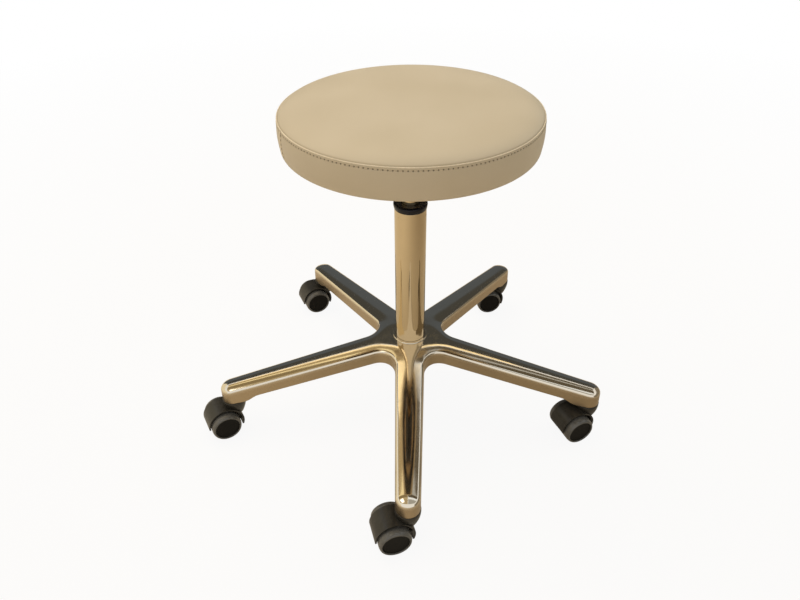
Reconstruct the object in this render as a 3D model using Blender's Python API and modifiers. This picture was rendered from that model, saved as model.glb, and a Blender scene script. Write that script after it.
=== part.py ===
"""Rolling stool: a round upholstered seat on a gas lift column, with a star base and five hooded casters.

Metres, +Z up. The origin is on the floor, under the column's axis. Arm 1 points along -Y, and the arms are
numbered counter-clockwise seen from above. The seat stands a little above its lowest height, and each
caster trails the way it was left.
"""

import math

import bmesh
import bpy
from mathutils import Matrix, Vector

# Clearances
GAP = 0.0003                    # between two pieces that touch
WHEEL_GAP = 0.0005              # between a wheel's hub and the fork web beside it
HOOD_GAP = 0.0010               # between a wheel's tread and the hood behind it

# Casters
WHEEL_RADIUS = 0.025
CASTER_TRAIL = 0.0257           # swivel axis to axle
WHEEL_FACE = 0.0297             # caster's middle plane to the tread's outer face
FORK_WEB = 0.011                # thickness of the housing between the wheels
TREAD_INSET = 0.0015            # tread's inner face from the wheel hub's
TREAD_THICKNESS = 0.0045
TREAD_FACE = 0.0016             # flat part of the tread's outer face, across
TREAD_SHOULDER = 0.0078         # along the axle, from the outer face to the full radius
DISC_RECESS = 0.0016
AXLE_RADIUS = 0.003
AXLE_END = 0.0060               # from the tread's outer face back to the axle's end
AXLE_BOSS_RADIUS = 0.0085
HOOD_WALL = 0.0026
HOOD_SHIFT = 0.0020             # the hood's centre, from the axle towards the stem
HOOD_HALF_WIDTH = 0.0185
HOOD_FRONT_DROP = 24.0          # degrees from the axle's level down to the hood's front end
HOOD_REAR_DROP = 2.0            # and to its rear end
NECK_RISE = 0.0086              # from the hood's top to the neck's top
NECK_RADIUS = 0.0194
NECK_FOOT_RADIUS = 0.0125
NECK_FOOT_DEPTH = 0.030         # below the neck's top, inside the hood
STEM_RADIUS = 0.0055
STEM_IN_HOUSING = 0.019
STEM_IN_ARM = 0.0235
STEM_GROOVE = 0.0007
CASTER_HEADINGS = (196.9, 203.4, 192.3, 205.7, 210.0)  # degrees, the way each caster trails at rest

# Star base casting
ARMS = 5
STEM_CIRCLE = 0.316             # column axis to caster stem
ARM_ROOT_HALF_WIDTH = 0.0256    # of an arm's side, carried on to the column axis
ARM_TIP_RADIUS = 0.018
ARM_FILLET = 0.030              # in plan, between two arms
ARM_DRAFT = 0.0008              # how far the lower edge stands out past the shoulder line
ARM_WALL = 0.005
ARM_SKIN = 0.006                # thickness of the arm's top
ARM_RISE = 0.0365               # of the shoulder line, from the tip to the column axis
ARM_CROWN = 0.0045              # of the top above the shoulder line, at the tip
ARM_TIP_WALL = 0.026            # from the caster's seat up to the shoulder line
ARM_TIP_DEPTH = 0.0214          # from the shoulder line to the lower edge, at the tip
ARM_ROOT_DEPTH = 0.0247         # and at the column axis
HUB_LIP = 0.0012
HUB_WALL = 0.0042               # of the lip round the column
HUB_FOOT_WALL = 0.0060
HUB_HEIGHT = 0.061
CASTER_BOSS_RADIUS = 0.0135
CASTER_BOSS_RECESS = 0.0006
RIB_PLACES = (0.36, 0.66)       # share of the way from the column to the stem
RIB_THICKNESS = 0.0035
RIB_RECESS = 0.006              # above the arm's lower edge

# Gas lift
LIFT_STROKE = 0.190
SEAT_RAISED = 0.025             # the seat's height at rest above its lowest
TUBE_RADIUS = 0.025
TUBE_FOOT_RADIUS = 0.0243       # the tube's tapered end in the hub
TUBE_WALL = 0.0018
TUBE_LENGTH = 0.3225
TUBE_BELOW_HUB = 0.0105
TUBE_FLOOR = 0.003
TUBE_FLOOR_HOLE = 0.006         # radius
CRIMP_RADIUS = 0.0035           # punched dimples that hold the bush
CRIMP_DEPTH = 0.0008
CRIMP_DROP = 0.0095             # below the tube's top
CRIMP_ANGLES = (-136.0, -16.0, 104.0)
BUSH_FLANGE_HEIGHT = 0.0092
BUSH_FOOT_OVERHANG = 0.0006     # past the tube
BUSH_RIM_OVERHANG = 0.0021
BUSH_RIM_ROUND = 0.0022
BUSH_SLEEVE = 0.080
CYLINDER_RADIUS = 0.014
CYLINDER_WALL = 0.003
CYLINDER_LIP = 0.0015           # rolled edge that holds the rod guide
CYLINDER_HEAD = 0.036           # solid length at the top, round the valve pin
CYLINDER_SHOWN = 0.0428         # between the bush and the seat plate's socket, at rest
CONE_TOP_RADIUS = 0.0133
ROD_RADIUS = 0.005
ROD_END_RADIUS = 0.004
ROD_HEAD_RADIUS = 0.0062
ROD_HEAD = 0.003
ROD_GUIDE_LENGTH = 0.018
PISTON_LENGTH = 0.015
WASHER_RADIUS = 0.0115
WASHER_THICKNESS = 0.0015
BALL_CAGE_THICKNESS = 0.0025
BUMPER_RADIUS = 0.0125
BUMPER_LENGTH = 0.030
CLIP_RADIUS = 0.0085
CLIP_THICKNESS = 0.0015
ROD_END_BELOW_CLIP = 0.0015
VALVE_PIN_RADIUS = 0.004
VALVE_PIN_CHAMFER = 0.0014
VALVE_PIN_RISE = 0.008          # above the cylinder's top
VALVE_PIN_IN_HEAD = 0.032

# Seat plate and release lever
PLATE_SIDE = 0.150
PLATE_CORNER = 0.015
PLATE_THICKNESS = 0.003
SCREW_SPACING = 0.120
SCREW_RADIUS = 0.003
SCREW_HEAD_RADIUS = 0.0055
SCREW_HEAD = 0.003
SCREW_IN_BOARD = 0.0095
DISH_RADIUS = 0.045
DISH_DRAFT = 0.005              # how far the dish's wall leans in
DISH_DEPTH = 0.0235             # from the flange's underside down to the dish's floor
SOCKET_WALL = 0.0052
SOCKET_LENGTH = 0.0276          # below the dish
CYLINDER_ABOVE_FLOOR = 0.0015
LEVER_RADIUS = 0.004
LEVER_PIVOT_Y = 0.024
LEVER_PAST_PIN = 0.0055         # how far the lever's inner end goes past the valve pin's axis
LEVER_BEND_Y = 0.052
LEVER_DROP = 0.024
LEVER_DROP_Y = 0.112
LEVER_END_Y = 0.186
LEVER_SLOT_SIDE = 0.003         # room beside the lever in the dish's wall
PIVOT_PIN_RADIUS = 0.002
LUG_THICKNESS = 0.003
LUG_SIDE_GAP = 0.0006
LUG_HALF_LENGTH = 0.006
GRIP_LENGTH = 0.058
GRIP_HALF_WIDTH = 0.013
GRIP_HALF_HEIGHT = 0.0065
GRIP_PAST_LEVER = 0.009
GRIP_ROUND = 0.005

# Seat
SEAT_RADIUS = 0.186
SEAT_BAND = 0.0468              # from the cushion's underside up to the seam
SEAT_CROWN = 0.0148             # from the seam to the middle of the top
SEAT_CROWN_POWER = 5.0
SEAT_BAND_BULGE = 0.0014
SEAT_TUCK = 0.0008              # how far the band draws in at its lower edge
SEAT_LOWER_ROUND = 0.0040
COVER_THICKNESS = 0.0012
COVER_HEM = 0.022               # cover turned under the board
BOARD_INSET = 0.010             # board's edge from the band
BOARD_THICKNESS = 0.012
LINING_HOLE_RADIUS = 0.104

# Facets
TURN_STEPS = 24
SMALL_STEPS = 14
WHEEL_STEPS = 20
SEAT_STEPS = 40

# Heights and radii that follow from the sizes above, from the floor up
HOOD_INNER = WHEEL_RADIUS + HOOD_SHIFT + HOOD_GAP
HOOD_OUTER = HOOD_INNER + HOOD_WALL
HOUSING_TOP = WHEEL_RADIUS + HOOD_OUTER + NECK_RISE
WHEEL_HUB_FACE = FORK_WEB / 2 + WHEEL_GAP
WHEEL_INNER = WHEEL_HUB_FACE + TREAD_INSET
AXLE_HALF_LENGTH = WHEEL_FACE - AXLE_END
TIP_BOTTOM = HOUSING_TOP + GAP
TIP_SHOULDER = TIP_BOTTOM + ARM_TIP_WALL
HUB_TOP = TIP_SHOULDER + ARM_RISE
HUB_BOTTOM = HUB_TOP - HUB_HEIGHT
HUB_RING = TUBE_RADIUS + GAP + HUB_WALL / 2  # where the arms' skin ends, inside the hub's wall
TUBE_BOTTOM = HUB_BOTTOM - TUBE_BELOW_HUB
TUBE_TOP = TUBE_BOTTOM + TUBE_LENGTH
FLOOR_TOP = TUBE_BOTTOM + TUBE_FLOOR
LOWER_WASHER = FLOOR_TOP + GAP
BALL_CAGE = LOWER_WASHER + WASHER_THICKNESS + GAP
UPPER_WASHER = BALL_CAGE + BALL_CAGE_THICKNESS + GAP
ROD_SHOULDER = UPPER_WASHER + WASHER_THICKNESS + GAP
BUMPER_TOP = ROD_SHOULDER + BUMPER_LENGTH
CLIP_TOP = TUBE_BOTTOM - GAP
CYLINDER_BOTTOM = BUMPER_TOP + GAP + SEAT_RAISED
ROD_GUIDE_BOTTOM = CYLINDER_BOTTOM + CYLINDER_LIP + GAP
ROD_STEP = ROD_GUIDE_BOTTOM + ROD_GUIDE_LENGTH + LIFT_STROKE - SEAT_RAISED
PISTON_BOTTOM = ROD_STEP + GAP
PISTON_TOP = PISTON_BOTTOM + PISTON_LENGTH
BUSH_BOTTOM = TUBE_TOP + GAP
BUSH_TOP = BUSH_BOTTOM + BUSH_FLANGE_HEIGHT
SOCKET_BOTTOM = BUSH_TOP + CYLINDER_SHOWN
CONE_BOTTOM = SOCKET_BOTTOM - GAP
DISH_FLOOR_BOTTOM = SOCKET_BOTTOM + SOCKET_LENGTH
DISH_FLOOR_TOP = DISH_FLOOR_BOTTOM + PLATE_THICKNESS
DISH_FLOOR_RADIUS = DISH_RADIUS - DISH_DRAFT
CYLINDER_TOP = DISH_FLOOR_TOP + CYLINDER_ABOVE_FLOOR
VALVE_PIN_TOP = CYLINDER_TOP + VALVE_PIN_RISE
LEVER_HEIGHT = VALVE_PIN_TOP + GAP + LEVER_RADIUS
PLATE_BOTTOM = DISH_FLOOR_TOP + DISH_DEPTH
PLATE_TOP = PLATE_BOTTOM + PLATE_THICKNESS
BOARD_BOTTOM = PLATE_TOP + GAP
BOARD_TOP = BOARD_BOTTOM + BOARD_THICKNESS
BOARD_RADIUS = SEAT_RADIUS - BOARD_INSET
HEM_RADIUS = BOARD_RADIUS - COVER_HEM
SEAT_BOTTOM = BOARD_BOTTOM - GAP - COVER_THICKNESS
SEAT_SEAM_HEIGHT = SEAT_BOTTOM + SEAT_BAND
ARM_TAPER = (ARM_ROOT_HALF_WIDTH - ARM_TIP_RADIUS) / STEM_CIRCLE
SECTOR = 2 * math.pi / ARMS


def clear_scene():
    """Empties the scene and makes one collection for the stool and one for what cuts and joins."""
    for item in list(bpy.data.objects):
        bpy.data.objects.remove(item, do_unlink=True)
    made = []
    for name in ("rolling_stool", "shaping_bodies"):
        collection = bpy.data.collections.new(name)
        bpy.context.scene.collection.children.link(collection)
        made.append(collection)
    return made


STOOL, SHAPING = clear_scene()


def finish(name, colour, roughness, metallic=0.0):
    """A plain Principled material."""
    material = bpy.data.materials.new(name)
    material.use_nodes = True
    shader = material.node_tree.nodes["Principled BSDF"]
    shader.inputs["Base Color"].default_value = (*colour, 1.0)
    shader.inputs["Roughness"].default_value = roughness
    shader.inputs["Metallic"].default_value = metallic
    return material


CREAM_LEATHER = finish("cream_leather", (0.58, 0.50, 0.38), 0.45)
PLYWOOD = finish("plywood", (0.50, 0.36, 0.21), 0.70)
BLACK_LINING = finish("black_lining", (0.02, 0.02, 0.02), 0.95)
BLACK_STEEL = finish("black_steel", (0.03, 0.03, 0.03), 0.45, 0.6)
ZINC_STEEL = finish("zinc_steel", (0.62, 0.63, 0.65), 0.35, 1.0)
CHROME = finish("chrome", (0.80, 0.80, 0.80), 0.06, 1.0)
POLISHED_ALUMINIUM = finish("polished_aluminium", (0.80, 0.78, 0.75), 0.12, 1.0)
GLOSS_BLACK = finish("gloss_black_plastic", (0.01, 0.01, 0.012), 0.18)
HOOD_BLACK = finish("hood_black_plastic", (0.025, 0.024, 0.020), 0.50)
DISC_BLACK = finish("disc_black_plastic", (0.012, 0.011, 0.009), 0.60)
GREY_TREAD = finish("grey_tread", (0.14, 0.13, 0.12), 0.55)
BLACK_RUBBER = finish("black_rubber", (0.02, 0.02, 0.02), 0.85)


def new_object(name, mesh, material=None, parent=None):
    """Puts a mesh in the scene: a part with a material, or a hidden shaping body without one."""
    made = bpy.data.objects.new(name, mesh)
    if material is None:
        SHAPING.objects.link(made)
        made.hide_render = True
        made.display_type = "WIRE"
    else:
        STOOL.objects.link(made)
        if not mesh.materials:
            mesh.materials.append(material)
    made.parent = parent
    return made


def joint_axis(name, location=(0, 0, 0), turn=0.0, parent=None):
    """An empty that stands on a joint's axis and carries the pieces that move on it."""
    made = bpy.data.objects.new(name, None)
    STOOL.objects.link(made)
    made.location = location
    made.rotation_euler = (0, 0, turn)
    made.parent = parent
    return made


def smooth(mesh, degrees=35):
    """Shades a mesh smooth across all but its sharp edges."""
    mesh.shade_smooth()
    mesh.set_sharp_from_angle(angle=math.radians(degrees))


def mesh_of(builder, name):
    """A mesh filled by a function that draws into a bmesh."""
    drawn = bmesh.new()
    builder(drawn)
    mesh = bpy.data.meshes.new(name)
    drawn.to_mesh(mesh)
    drawn.free()
    return mesh


def turned_mesh(name, profile, steps):
    """A mesh turned about Z from (radius, height) points that run down the outer side.

    A profile that starts and ends on the axis makes a solid, and any other is closed into a ring.
    """
    ring = profile[0][0] > 0 or profile[-1][0] > 0
    count = len(profile)
    edges = [(i, (i + 1) % count) for i in range(count if ring else count - 1)]
    outline = bpy.data.meshes.new(name)
    outline.from_pydata([(r, 0, z) for r, z in profile], edges, [])
    blank = bpy.data.objects.new(name, outline)
    SHAPING.objects.link(blank)
    screw = blank.modifiers.new("turn", "SCREW")
    screw.steps = screw.render_steps = steps
    screw.use_merge_vertices = True
    screw.merge_threshold = 0.00001
    return frozen(blank, name)


def frozen(item, name):
    """The evaluated mesh of an object, which is then removed."""
    bpy.context.view_layer.update()
    graph = bpy.context.evaluated_depsgraph_get()
    mesh = bpy.data.meshes.new_from_object(item.evaluated_get(graph))
    mesh.name = name
    mesh.transform(item.matrix_world)
    bpy.data.objects.remove(item, do_unlink=True)
    return mesh


def welded(mesh):
    """Closes a mesh whose caps or halves only lie on each other."""
    drawn = bmesh.new()
    drawn.from_mesh(mesh)
    bmesh.ops.remove_doubles(drawn, verts=drawn.verts, dist=0.000002)
    bmesh.ops.recalc_face_normals(drawn, faces=drawn.faces)
    drawn.to_mesh(mesh)
    drawn.free()
    return mesh


def shaped(item, operation, *meshes):
    """Cuts meshes out of an object, or joins them to it, one Boolean each."""
    for number, mesh in enumerate(meshes):
        tool = new_object(f"{item.name}_{operation.lower()}_{number}", mesh)
        boolean = item.modifiers.new(tool.name, "BOOLEAN")
        boolean.operation = operation
        boolean.solver = "EXACT"
        boolean.object = tool
    return item


def cylinder_mesh(name, radius, low, high, at=(0.0, 0.0), steps=SMALL_STEPS, top_radius=None):
    """A capped cylinder or cone between two heights."""

    def draw(drawn):
        bmesh.ops.create_cone(
            drawn, cap_ends=True, segments=steps, radius1=radius,
            radius2=radius if top_radius is None else top_radius, depth=high - low,
            matrix=Matrix.Translation((at[0], at[1], (low + high) / 2)),
        )

    return mesh_of(draw, name)


def box_mesh(name, low, high, turn=0.0):
    """A box between two corners, then turned about the column's axis."""
    size = Vector(high) - Vector(low)
    middle = (Vector(high) + Vector(low)) / 2

    def draw(drawn):
        place = Matrix.Rotation(turn, 4, "Z") @ Matrix.Translation(middle) @ Matrix.Diagonal((*size, 1))
        bmesh.ops.create_cube(drawn, size=1.0, matrix=place)

    return mesh_of(draw, name)


def laid_along_y(mesh):
    """Lays a piece turned about Z down, so that its axis lies along +Y."""
    mesh.transform(Matrix.Rotation(-math.pi / 2, 4, "X"))
    return mesh


def turned_part(name, profile, material, parent=None, steps=TURN_STEPS):
    """A turned piece of the stool."""
    mesh = turned_mesh(name, profile, steps)
    smooth(mesh)
    return new_object(name, mesh, material, parent)


def arc(centre, radius, start, end, count):
    """Points on an arc, angles in degrees, both ends included."""
    angles = [math.radians(start + (end - start) * i / count) for i in range(count + 1)]
    return [(centre[0] + radius * math.cos(a), centre[1] + radius * math.sin(a)) for a in angles]


# Star base

TOP_ROWS = (0.0, 0.50, 0.82, 1.0)  # from the ridge to the shoulder line
SIDE_STATIONS = (0.40, 0.80, 0.88, 0.94, 1.0)  # from the fillet to the tip
FILLET_STATIONS = 4
TIP_STATIONS = 4


def arm_half_width(along):
    """Half the width of an arm at a distance from the column's axis."""
    return ARM_ROOT_HALF_WIDTH - ARM_TAPER * along


def shoulder_height(along):
    """Height of an arm's shoulder line."""
    return HUB_TOP - ARM_RISE * along / STEM_CIRCLE


def ridge_height(along):
    """Height of the middle of an arm's top, straight from the hub's lip to the tip."""
    tip = TIP_SHOULDER + ARM_CROWN
    share = (along - HUB_RING) / (STEM_CIRCLE - HUB_RING)
    return HUB_TOP + (tip - HUB_TOP) * share


def flank_bottom(along):
    """Height of an arm's lower edge, which steps down to the caster's seat at the tip."""
    depth = ARM_ROOT_DEPTH + (ARM_TIP_DEPTH - ARM_ROOT_DEPTH) * along / STEM_CIRCLE
    plain = shoulder_height(along) - depth
    share = (along - (STEM_CIRCLE - 2.2 * ARM_TIP_RADIUS)) / (1.2 * ARM_TIP_RADIUS)
    share = min(max(share, 0.0), 1.0)
    step = share * share * (3 - 2 * share)
    return plain + (TIP_BOTTOM - plain) * step


def crown(inner_height, edge_height, share):
    """Height of the top between the ridge, share 0, and the shoulder line, share 1."""
    return edge_height + (inner_height - edge_height) * (1 - share ** 3)


def half_arm_stations():
    """Outline points of half an arm with the point inside each one and the outline's outward normal."""
    slant = math.hypot(1.0, ARM_TAPER)
    normal = Vector((ARM_TAPER, 1.0)) / slant
    bisector = Vector((math.cos(SECTOR / 2), math.sin(SECTOR / 2)))
    reach = (ARM_FILLET * slant + ARM_ROOT_HALF_WIDTH) / (ARM_TAPER * bisector.x + bisector.y)
    centre = bisector * reach
    start = 180 + math.degrees(SECTOR / 2)
    end = 270 - math.degrees(math.atan(ARM_TAPER))
    stations = []
    for number, point in enumerate(arc(centre, ARM_FILLET, start, end, FILLET_STATIONS)):
        outer = Vector(point)
        turn = SECTOR / 2 * (1 - number / FILLET_STATIONS)
        inner = Vector((math.cos(turn), math.sin(turn))) * HUB_RING
        stations.append((outer, inner, (centre - outer).normalized(), HUB_TOP))
    first = stations[-1][0].x
    for share in SIDE_STATIONS:
        along = first + (STEM_CIRCLE - first) * share
        ridge = HUB_RING + (STEM_CIRCLE - HUB_RING) * share
        outer = Vector((along, arm_half_width(along)))
        stations.append((outer, Vector((ridge, 0.0)), normal, ridge_height(ridge)))
    stem = Vector((STEM_CIRCLE, 0.0))
    for point in arc(stem, ARM_TIP_RADIUS, 90, 0, TIP_STATIONS)[1:]:
        outer = Vector(point)
        stations.append((outer, stem, (outer - stem).normalized(), ridge_height(STEM_CIRCLE)))
    return stations


def half_arm_column(outer, inner, normal, inner_height):
    """One station's points: from the ridge over the shoulder, down the flank, then up inside the hollow."""
    edge = shoulder_height(outer.x)
    points = []
    for share in TOP_ROWS:
        flat = inner.lerp(outer, share)
        points.append((*flat, crown(inner_height, edge, share)))
    low = flank_bottom(outer.x)
    inside = outer - normal * ARM_WALL
    share = 1 - ARM_WALL / (outer - inner).length
    points.append((*(outer + normal * ARM_DRAFT), low))
    points.append((*inside, low))
    points.append((*inside, crown(inner_height, edge, share) - ARM_SKIN))
    points.append((*inner, inner_height - ARM_SKIN))
    return points


def draw_arm_shell(drawn):
    """Lofts half an arm, mirrors it, and repeats it round the hub."""
    columns = [half_arm_column(*station) for station in half_arm_stations()]
    grid = [[drawn.verts.new(point) for point in column] for column in columns]
    rows = len(grid[0])
    for number in range(len(grid) - 1):
        left, right = grid[number], grid[number + 1]
        closing = number < FILLET_STATIONS
        for row in range(rows if closing else rows - 1):
            after = (row + 1) % rows
            drawn.faces.new((left[row], left[after], right[after], right[row]))
    mirrored = bmesh.ops.mirror(drawn, geom=drawn.verts[:] + drawn.edges[:] + drawn.faces[:], axis="Y")
    flipped = [face for face in mirrored["geom"] if isinstance(face, bmesh.types.BMFace)]
    bmesh.ops.reverse_faces(drawn, faces=flipped)
    bmesh.ops.spin(
        drawn, geom=drawn.verts[:] + drawn.edges[:] + drawn.faces[:], axis=(0, 0, 1), cent=(0, 0, 0),
        angle=2 * math.pi * (ARMS - 1) / ARMS, steps=ARMS - 1, use_duplicate=True,
    )
    bmesh.ops.remove_doubles(drawn, verts=drawn.verts, dist=0.000005)
    bmesh.ops.dissolve_degenerate(drawn, edges=drawn.edges, dist=0.000005)
    bmesh.ops.recalc_face_normals(drawn, faces=drawn.faces)
    bmesh.ops.rotate(drawn, verts=drawn.verts, cent=(0, 0, 0), matrix=Matrix.Rotation(-math.pi / 2, 3, "Z"))


def arm_angle(number):
    """Direction of an arm, seen from above."""
    return -math.pi / 2 + SECTOR * number


def stem_place(number):
    """Where an arm's caster stem stands."""
    angle = arm_angle(number)
    return STEM_CIRCLE * math.cos(angle), STEM_CIRCLE * math.sin(angle)


def tube_radius(height):
    """Outer radius of the column's tube, which tapers from the hub's top down."""
    share = (HUB_TOP - height) / (HUB_TOP - TUBE_BOTTOM)
    return TUBE_RADIUS + (TUBE_FOOT_RADIUS - TUBE_RADIUS) * min(max(share, 0.0), 1.0)


def hub_mesh():
    """The hub's sleeve, bored to the tube's taper, with the lip that shows round the column."""
    lip = HUB_TOP + HUB_LIP
    wall = TUBE_RADIUS + GAP + HUB_WALL
    foot = TUBE_RADIUS + GAP + HUB_FOOT_WALL
    shoulder = HUB_TOP - ARM_SKIN / 2
    return turned_mesh("hub", [
        (TUBE_RADIUS + GAP, lip),
        (wall - HUB_LIP / 2, lip),
        (wall, lip - HUB_LIP / 2),
        (foot, shoulder),
        (foot, HUB_BOTTOM),
        (tube_radius(HUB_BOTTOM) + GAP, HUB_BOTTOM),
        (TUBE_RADIUS + GAP, HUB_TOP),
    ], TURN_STEPS)


def make_star_base():
    """The casting: five hollow arms on a hub, with a cross rib pattern and a boss for each caster."""
    base = new_object("star_base", mesh_of(draw_arm_shell, "star_base"), POLISHED_ALUMINIUM)
    shaped(base, "UNION", hub_mesh())
    boss_top = ridge_height(STEM_CIRCLE) - 0.85 * ARM_SKIN
    for number in range(ARMS):
        place = stem_place(number)
        boss = cylinder_mesh("boss", CASTER_BOSS_RADIUS, TIP_BOTTOM + CASTER_BOSS_RECESS, boss_top, place)
        ribs = []
        for share in RIB_PLACES:
            along = STEM_CIRCLE * share
            half = arm_half_width(along) - ARM_WALL * 0.75
            top = ridge_height(along) - ARM_SKIN * 0.9
            low = flank_bottom(along) + RIB_RECESS
            ribs.append(box_mesh(
                "rib", (along, -half, low), (along + RIB_THICKNESS, half, top), arm_angle(number),
            ))
        shaped(base, "UNION", boss, *ribs)
    sockets = [
        cylinder_mesh("socket", STEM_RADIUS + GAP, TIP_BOTTOM - ARM_WALL, TIP_BOTTOM + STEM_IN_ARM + GAP,
                      stem_place(number))
        for number in range(ARMS)
    ]
    shaped(base, "DIFFERENCE", *sockets)
    mesh = frozen(base, "star_base")
    smooth(mesh)
    return new_object("star_base", mesh, POLISHED_ALUMINIUM)


# Gas lift

def make_column():
    """The tube that stands in the hub, its guide bush, and the bearing on the tube's floor."""
    inner = TUBE_RADIUS - TUBE_WALL
    foot = TUBE_FOOT_RADIUS - TUBE_WALL
    tube = turned_mesh("column_tube", [
        (TUBE_RADIUS, TUBE_TOP),
        (TUBE_RADIUS, HUB_TOP),
        (TUBE_FOOT_RADIUS, TUBE_BOTTOM),
        (TUBE_FLOOR_HOLE, TUBE_BOTTOM),
        (TUBE_FLOOR_HOLE, FLOOR_TOP),
        (foot, FLOOR_TOP),
        (inner, HUB_TOP),
        (inner, TUBE_TOP),
    ], TURN_STEPS)
    blank = new_object("column_tube_blank", tube)
    for angle in CRIMP_ANGLES:
        reach = TUBE_RADIUS + CRIMP_RADIUS - CRIMP_DEPTH
        spot = Vector((math.cos(math.radians(angle)), math.sin(math.radians(angle)), 0)) * reach
        spot.z = TUBE_TOP - CRIMP_DROP

        def draw(drawn):
            bmesh.ops.create_uvsphere(
                drawn, u_segments=12, v_segments=8, radius=CRIMP_RADIUS, matrix=Matrix.Translation(spot),
            )

        shaped(blank, "DIFFERENCE", mesh_of(draw, "crimp"))
    tube = frozen(blank, "column_tube")
    smooth(tube)
    new_object("column_tube", tube, CHROME)

    bore = CYLINDER_RADIUS + GAP
    sleeve = inner - GAP
    rim = TUBE_RADIUS + BUSH_RIM_OVERHANG - BUSH_RIM_ROUND
    turned_part("guide_bush", [
        (bore, BUSH_TOP - BUSH_RIM_ROUND / 2),
        (bore + BUSH_RIM_ROUND / 2, BUSH_TOP),
        *arc((rim, BUSH_TOP - BUSH_RIM_ROUND), BUSH_RIM_ROUND, 90, 0, 2),
        (TUBE_RADIUS + BUSH_FOOT_OVERHANG, BUSH_BOTTOM),
        (sleeve, BUSH_BOTTOM),
        (sleeve, BUSH_BOTTOM - BUSH_SLEEVE),
        (bore, BUSH_BOTTOM - BUSH_SLEEVE),
    ], GLOSS_BLACK)

    hole = ROD_END_RADIUS + GAP
    for name, low, thickness, material in (
        ("lower_bearing_washer", LOWER_WASHER, WASHER_THICKNESS, ZINC_STEEL),
        ("bearing_ball_cage", BALL_CAGE, BALL_CAGE_THICKNESS, ZINC_STEEL),
    ):
        ring = ring_profile(hole, WASHER_RADIUS, low, low + thickness)
        turned_part(name, ring, material, steps=SMALL_STEPS)


def ring_profile(inner, outer, low, high):
    """A plain ring's section."""
    return [(outer, high), (outer, low), (inner, low), (inner, high)]


def make_piston_rod(swivel):
    """The rod that stands on the bearing and turns with the seat, with its piston, bumper and clip."""
    end = CLIP_TOP - CLIP_THICKNESS - ROD_END_BELOW_CLIP
    neck_top = PISTON_TOP + GAP
    turned_part("piston_rod", [
        (0, neck_top + ROD_HEAD),
        (ROD_HEAD_RADIUS, neck_top + ROD_HEAD),
        (ROD_HEAD_RADIUS, neck_top),
        (ROD_END_RADIUS, neck_top),
        (ROD_END_RADIUS, ROD_STEP),
        (ROD_RADIUS, ROD_STEP),
        (ROD_RADIUS, ROD_SHOULDER),
        (ROD_END_RADIUS, ROD_SHOULDER),
        (ROD_END_RADIUS, end),
        (0, end),
    ], CHROME, swivel, SMALL_STEPS)
    hole = ROD_END_RADIUS + GAP
    bore = CYLINDER_RADIUS - CYLINDER_WALL - GAP
    for name, profile, material in (
        ("upper_bearing_washer",
         ring_profile(hole, WASHER_RADIUS, UPPER_WASHER, UPPER_WASHER + WASHER_THICKNESS), ZINC_STEEL),
        ("piston", ring_profile(hole, bore, PISTON_BOTTOM, PISTON_TOP), BLACK_RUBBER),
        ("rod_bumper",
         ring_profile(ROD_RADIUS + GAP, BUMPER_RADIUS, ROD_SHOULDER, BUMPER_TOP), BLACK_RUBBER),
        ("rod_clip", ring_profile(hole, CLIP_RADIUS, CLIP_TOP - CLIP_THICKNESS, CLIP_TOP), ZINC_STEEL),
    ):
        turned_part(name, profile, material, swivel, SMALL_STEPS)


def cone_radius(height):
    """Radius of the cylinder's top, which is a slight cone in the plate's socket."""
    share = (height - CONE_BOTTOM) / (CYLINDER_TOP - CONE_BOTTOM)
    return CYLINDER_RADIUS + (CONE_TOP_RADIUS - CYLINDER_RADIUS) * min(max(share, 0.0), 1.0)


def make_gas_cylinder(lift):
    """The pressure cylinder that carries the seat, with its rod guide."""
    bore = CYLINDER_RADIUS - CYLINDER_WALL
    pin_hole = VALVE_PIN_RADIUS + GAP
    chamber_top = CYLINDER_TOP - CYLINDER_HEAD
    lip = bore - CYLINDER_LIP
    turned_part("gas_cylinder", [
        (cone_radius(CYLINDER_TOP), CYLINDER_TOP),
        (CYLINDER_RADIUS, CONE_BOTTOM),
        (CYLINDER_RADIUS, CYLINDER_BOTTOM),
        (lip, CYLINDER_BOTTOM),
        (lip, CYLINDER_BOTTOM + CYLINDER_LIP),
        (bore, CYLINDER_BOTTOM + CYLINDER_LIP),
        (bore, chamber_top),
        (pin_hole, chamber_top),
        (pin_hole, CYLINDER_TOP),
    ], CHROME, lift)
    guide = ring_profile(
        ROD_RADIUS + GAP, bore - GAP, ROD_GUIDE_BOTTOM, ROD_GUIDE_BOTTOM + ROD_GUIDE_LENGTH,
    )
    turned_part("rod_guide", guide, GLOSS_BLACK, lift, SMALL_STEPS)


# Seat

def seat_top(radius):
    """Height of the seat's crowned top at a distance from its middle."""
    return SEAT_SEAM_HEIGHT + SEAT_CROWN * (1 - (radius / SEAT_RADIUS) ** SEAT_CROWN_POWER)


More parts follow.
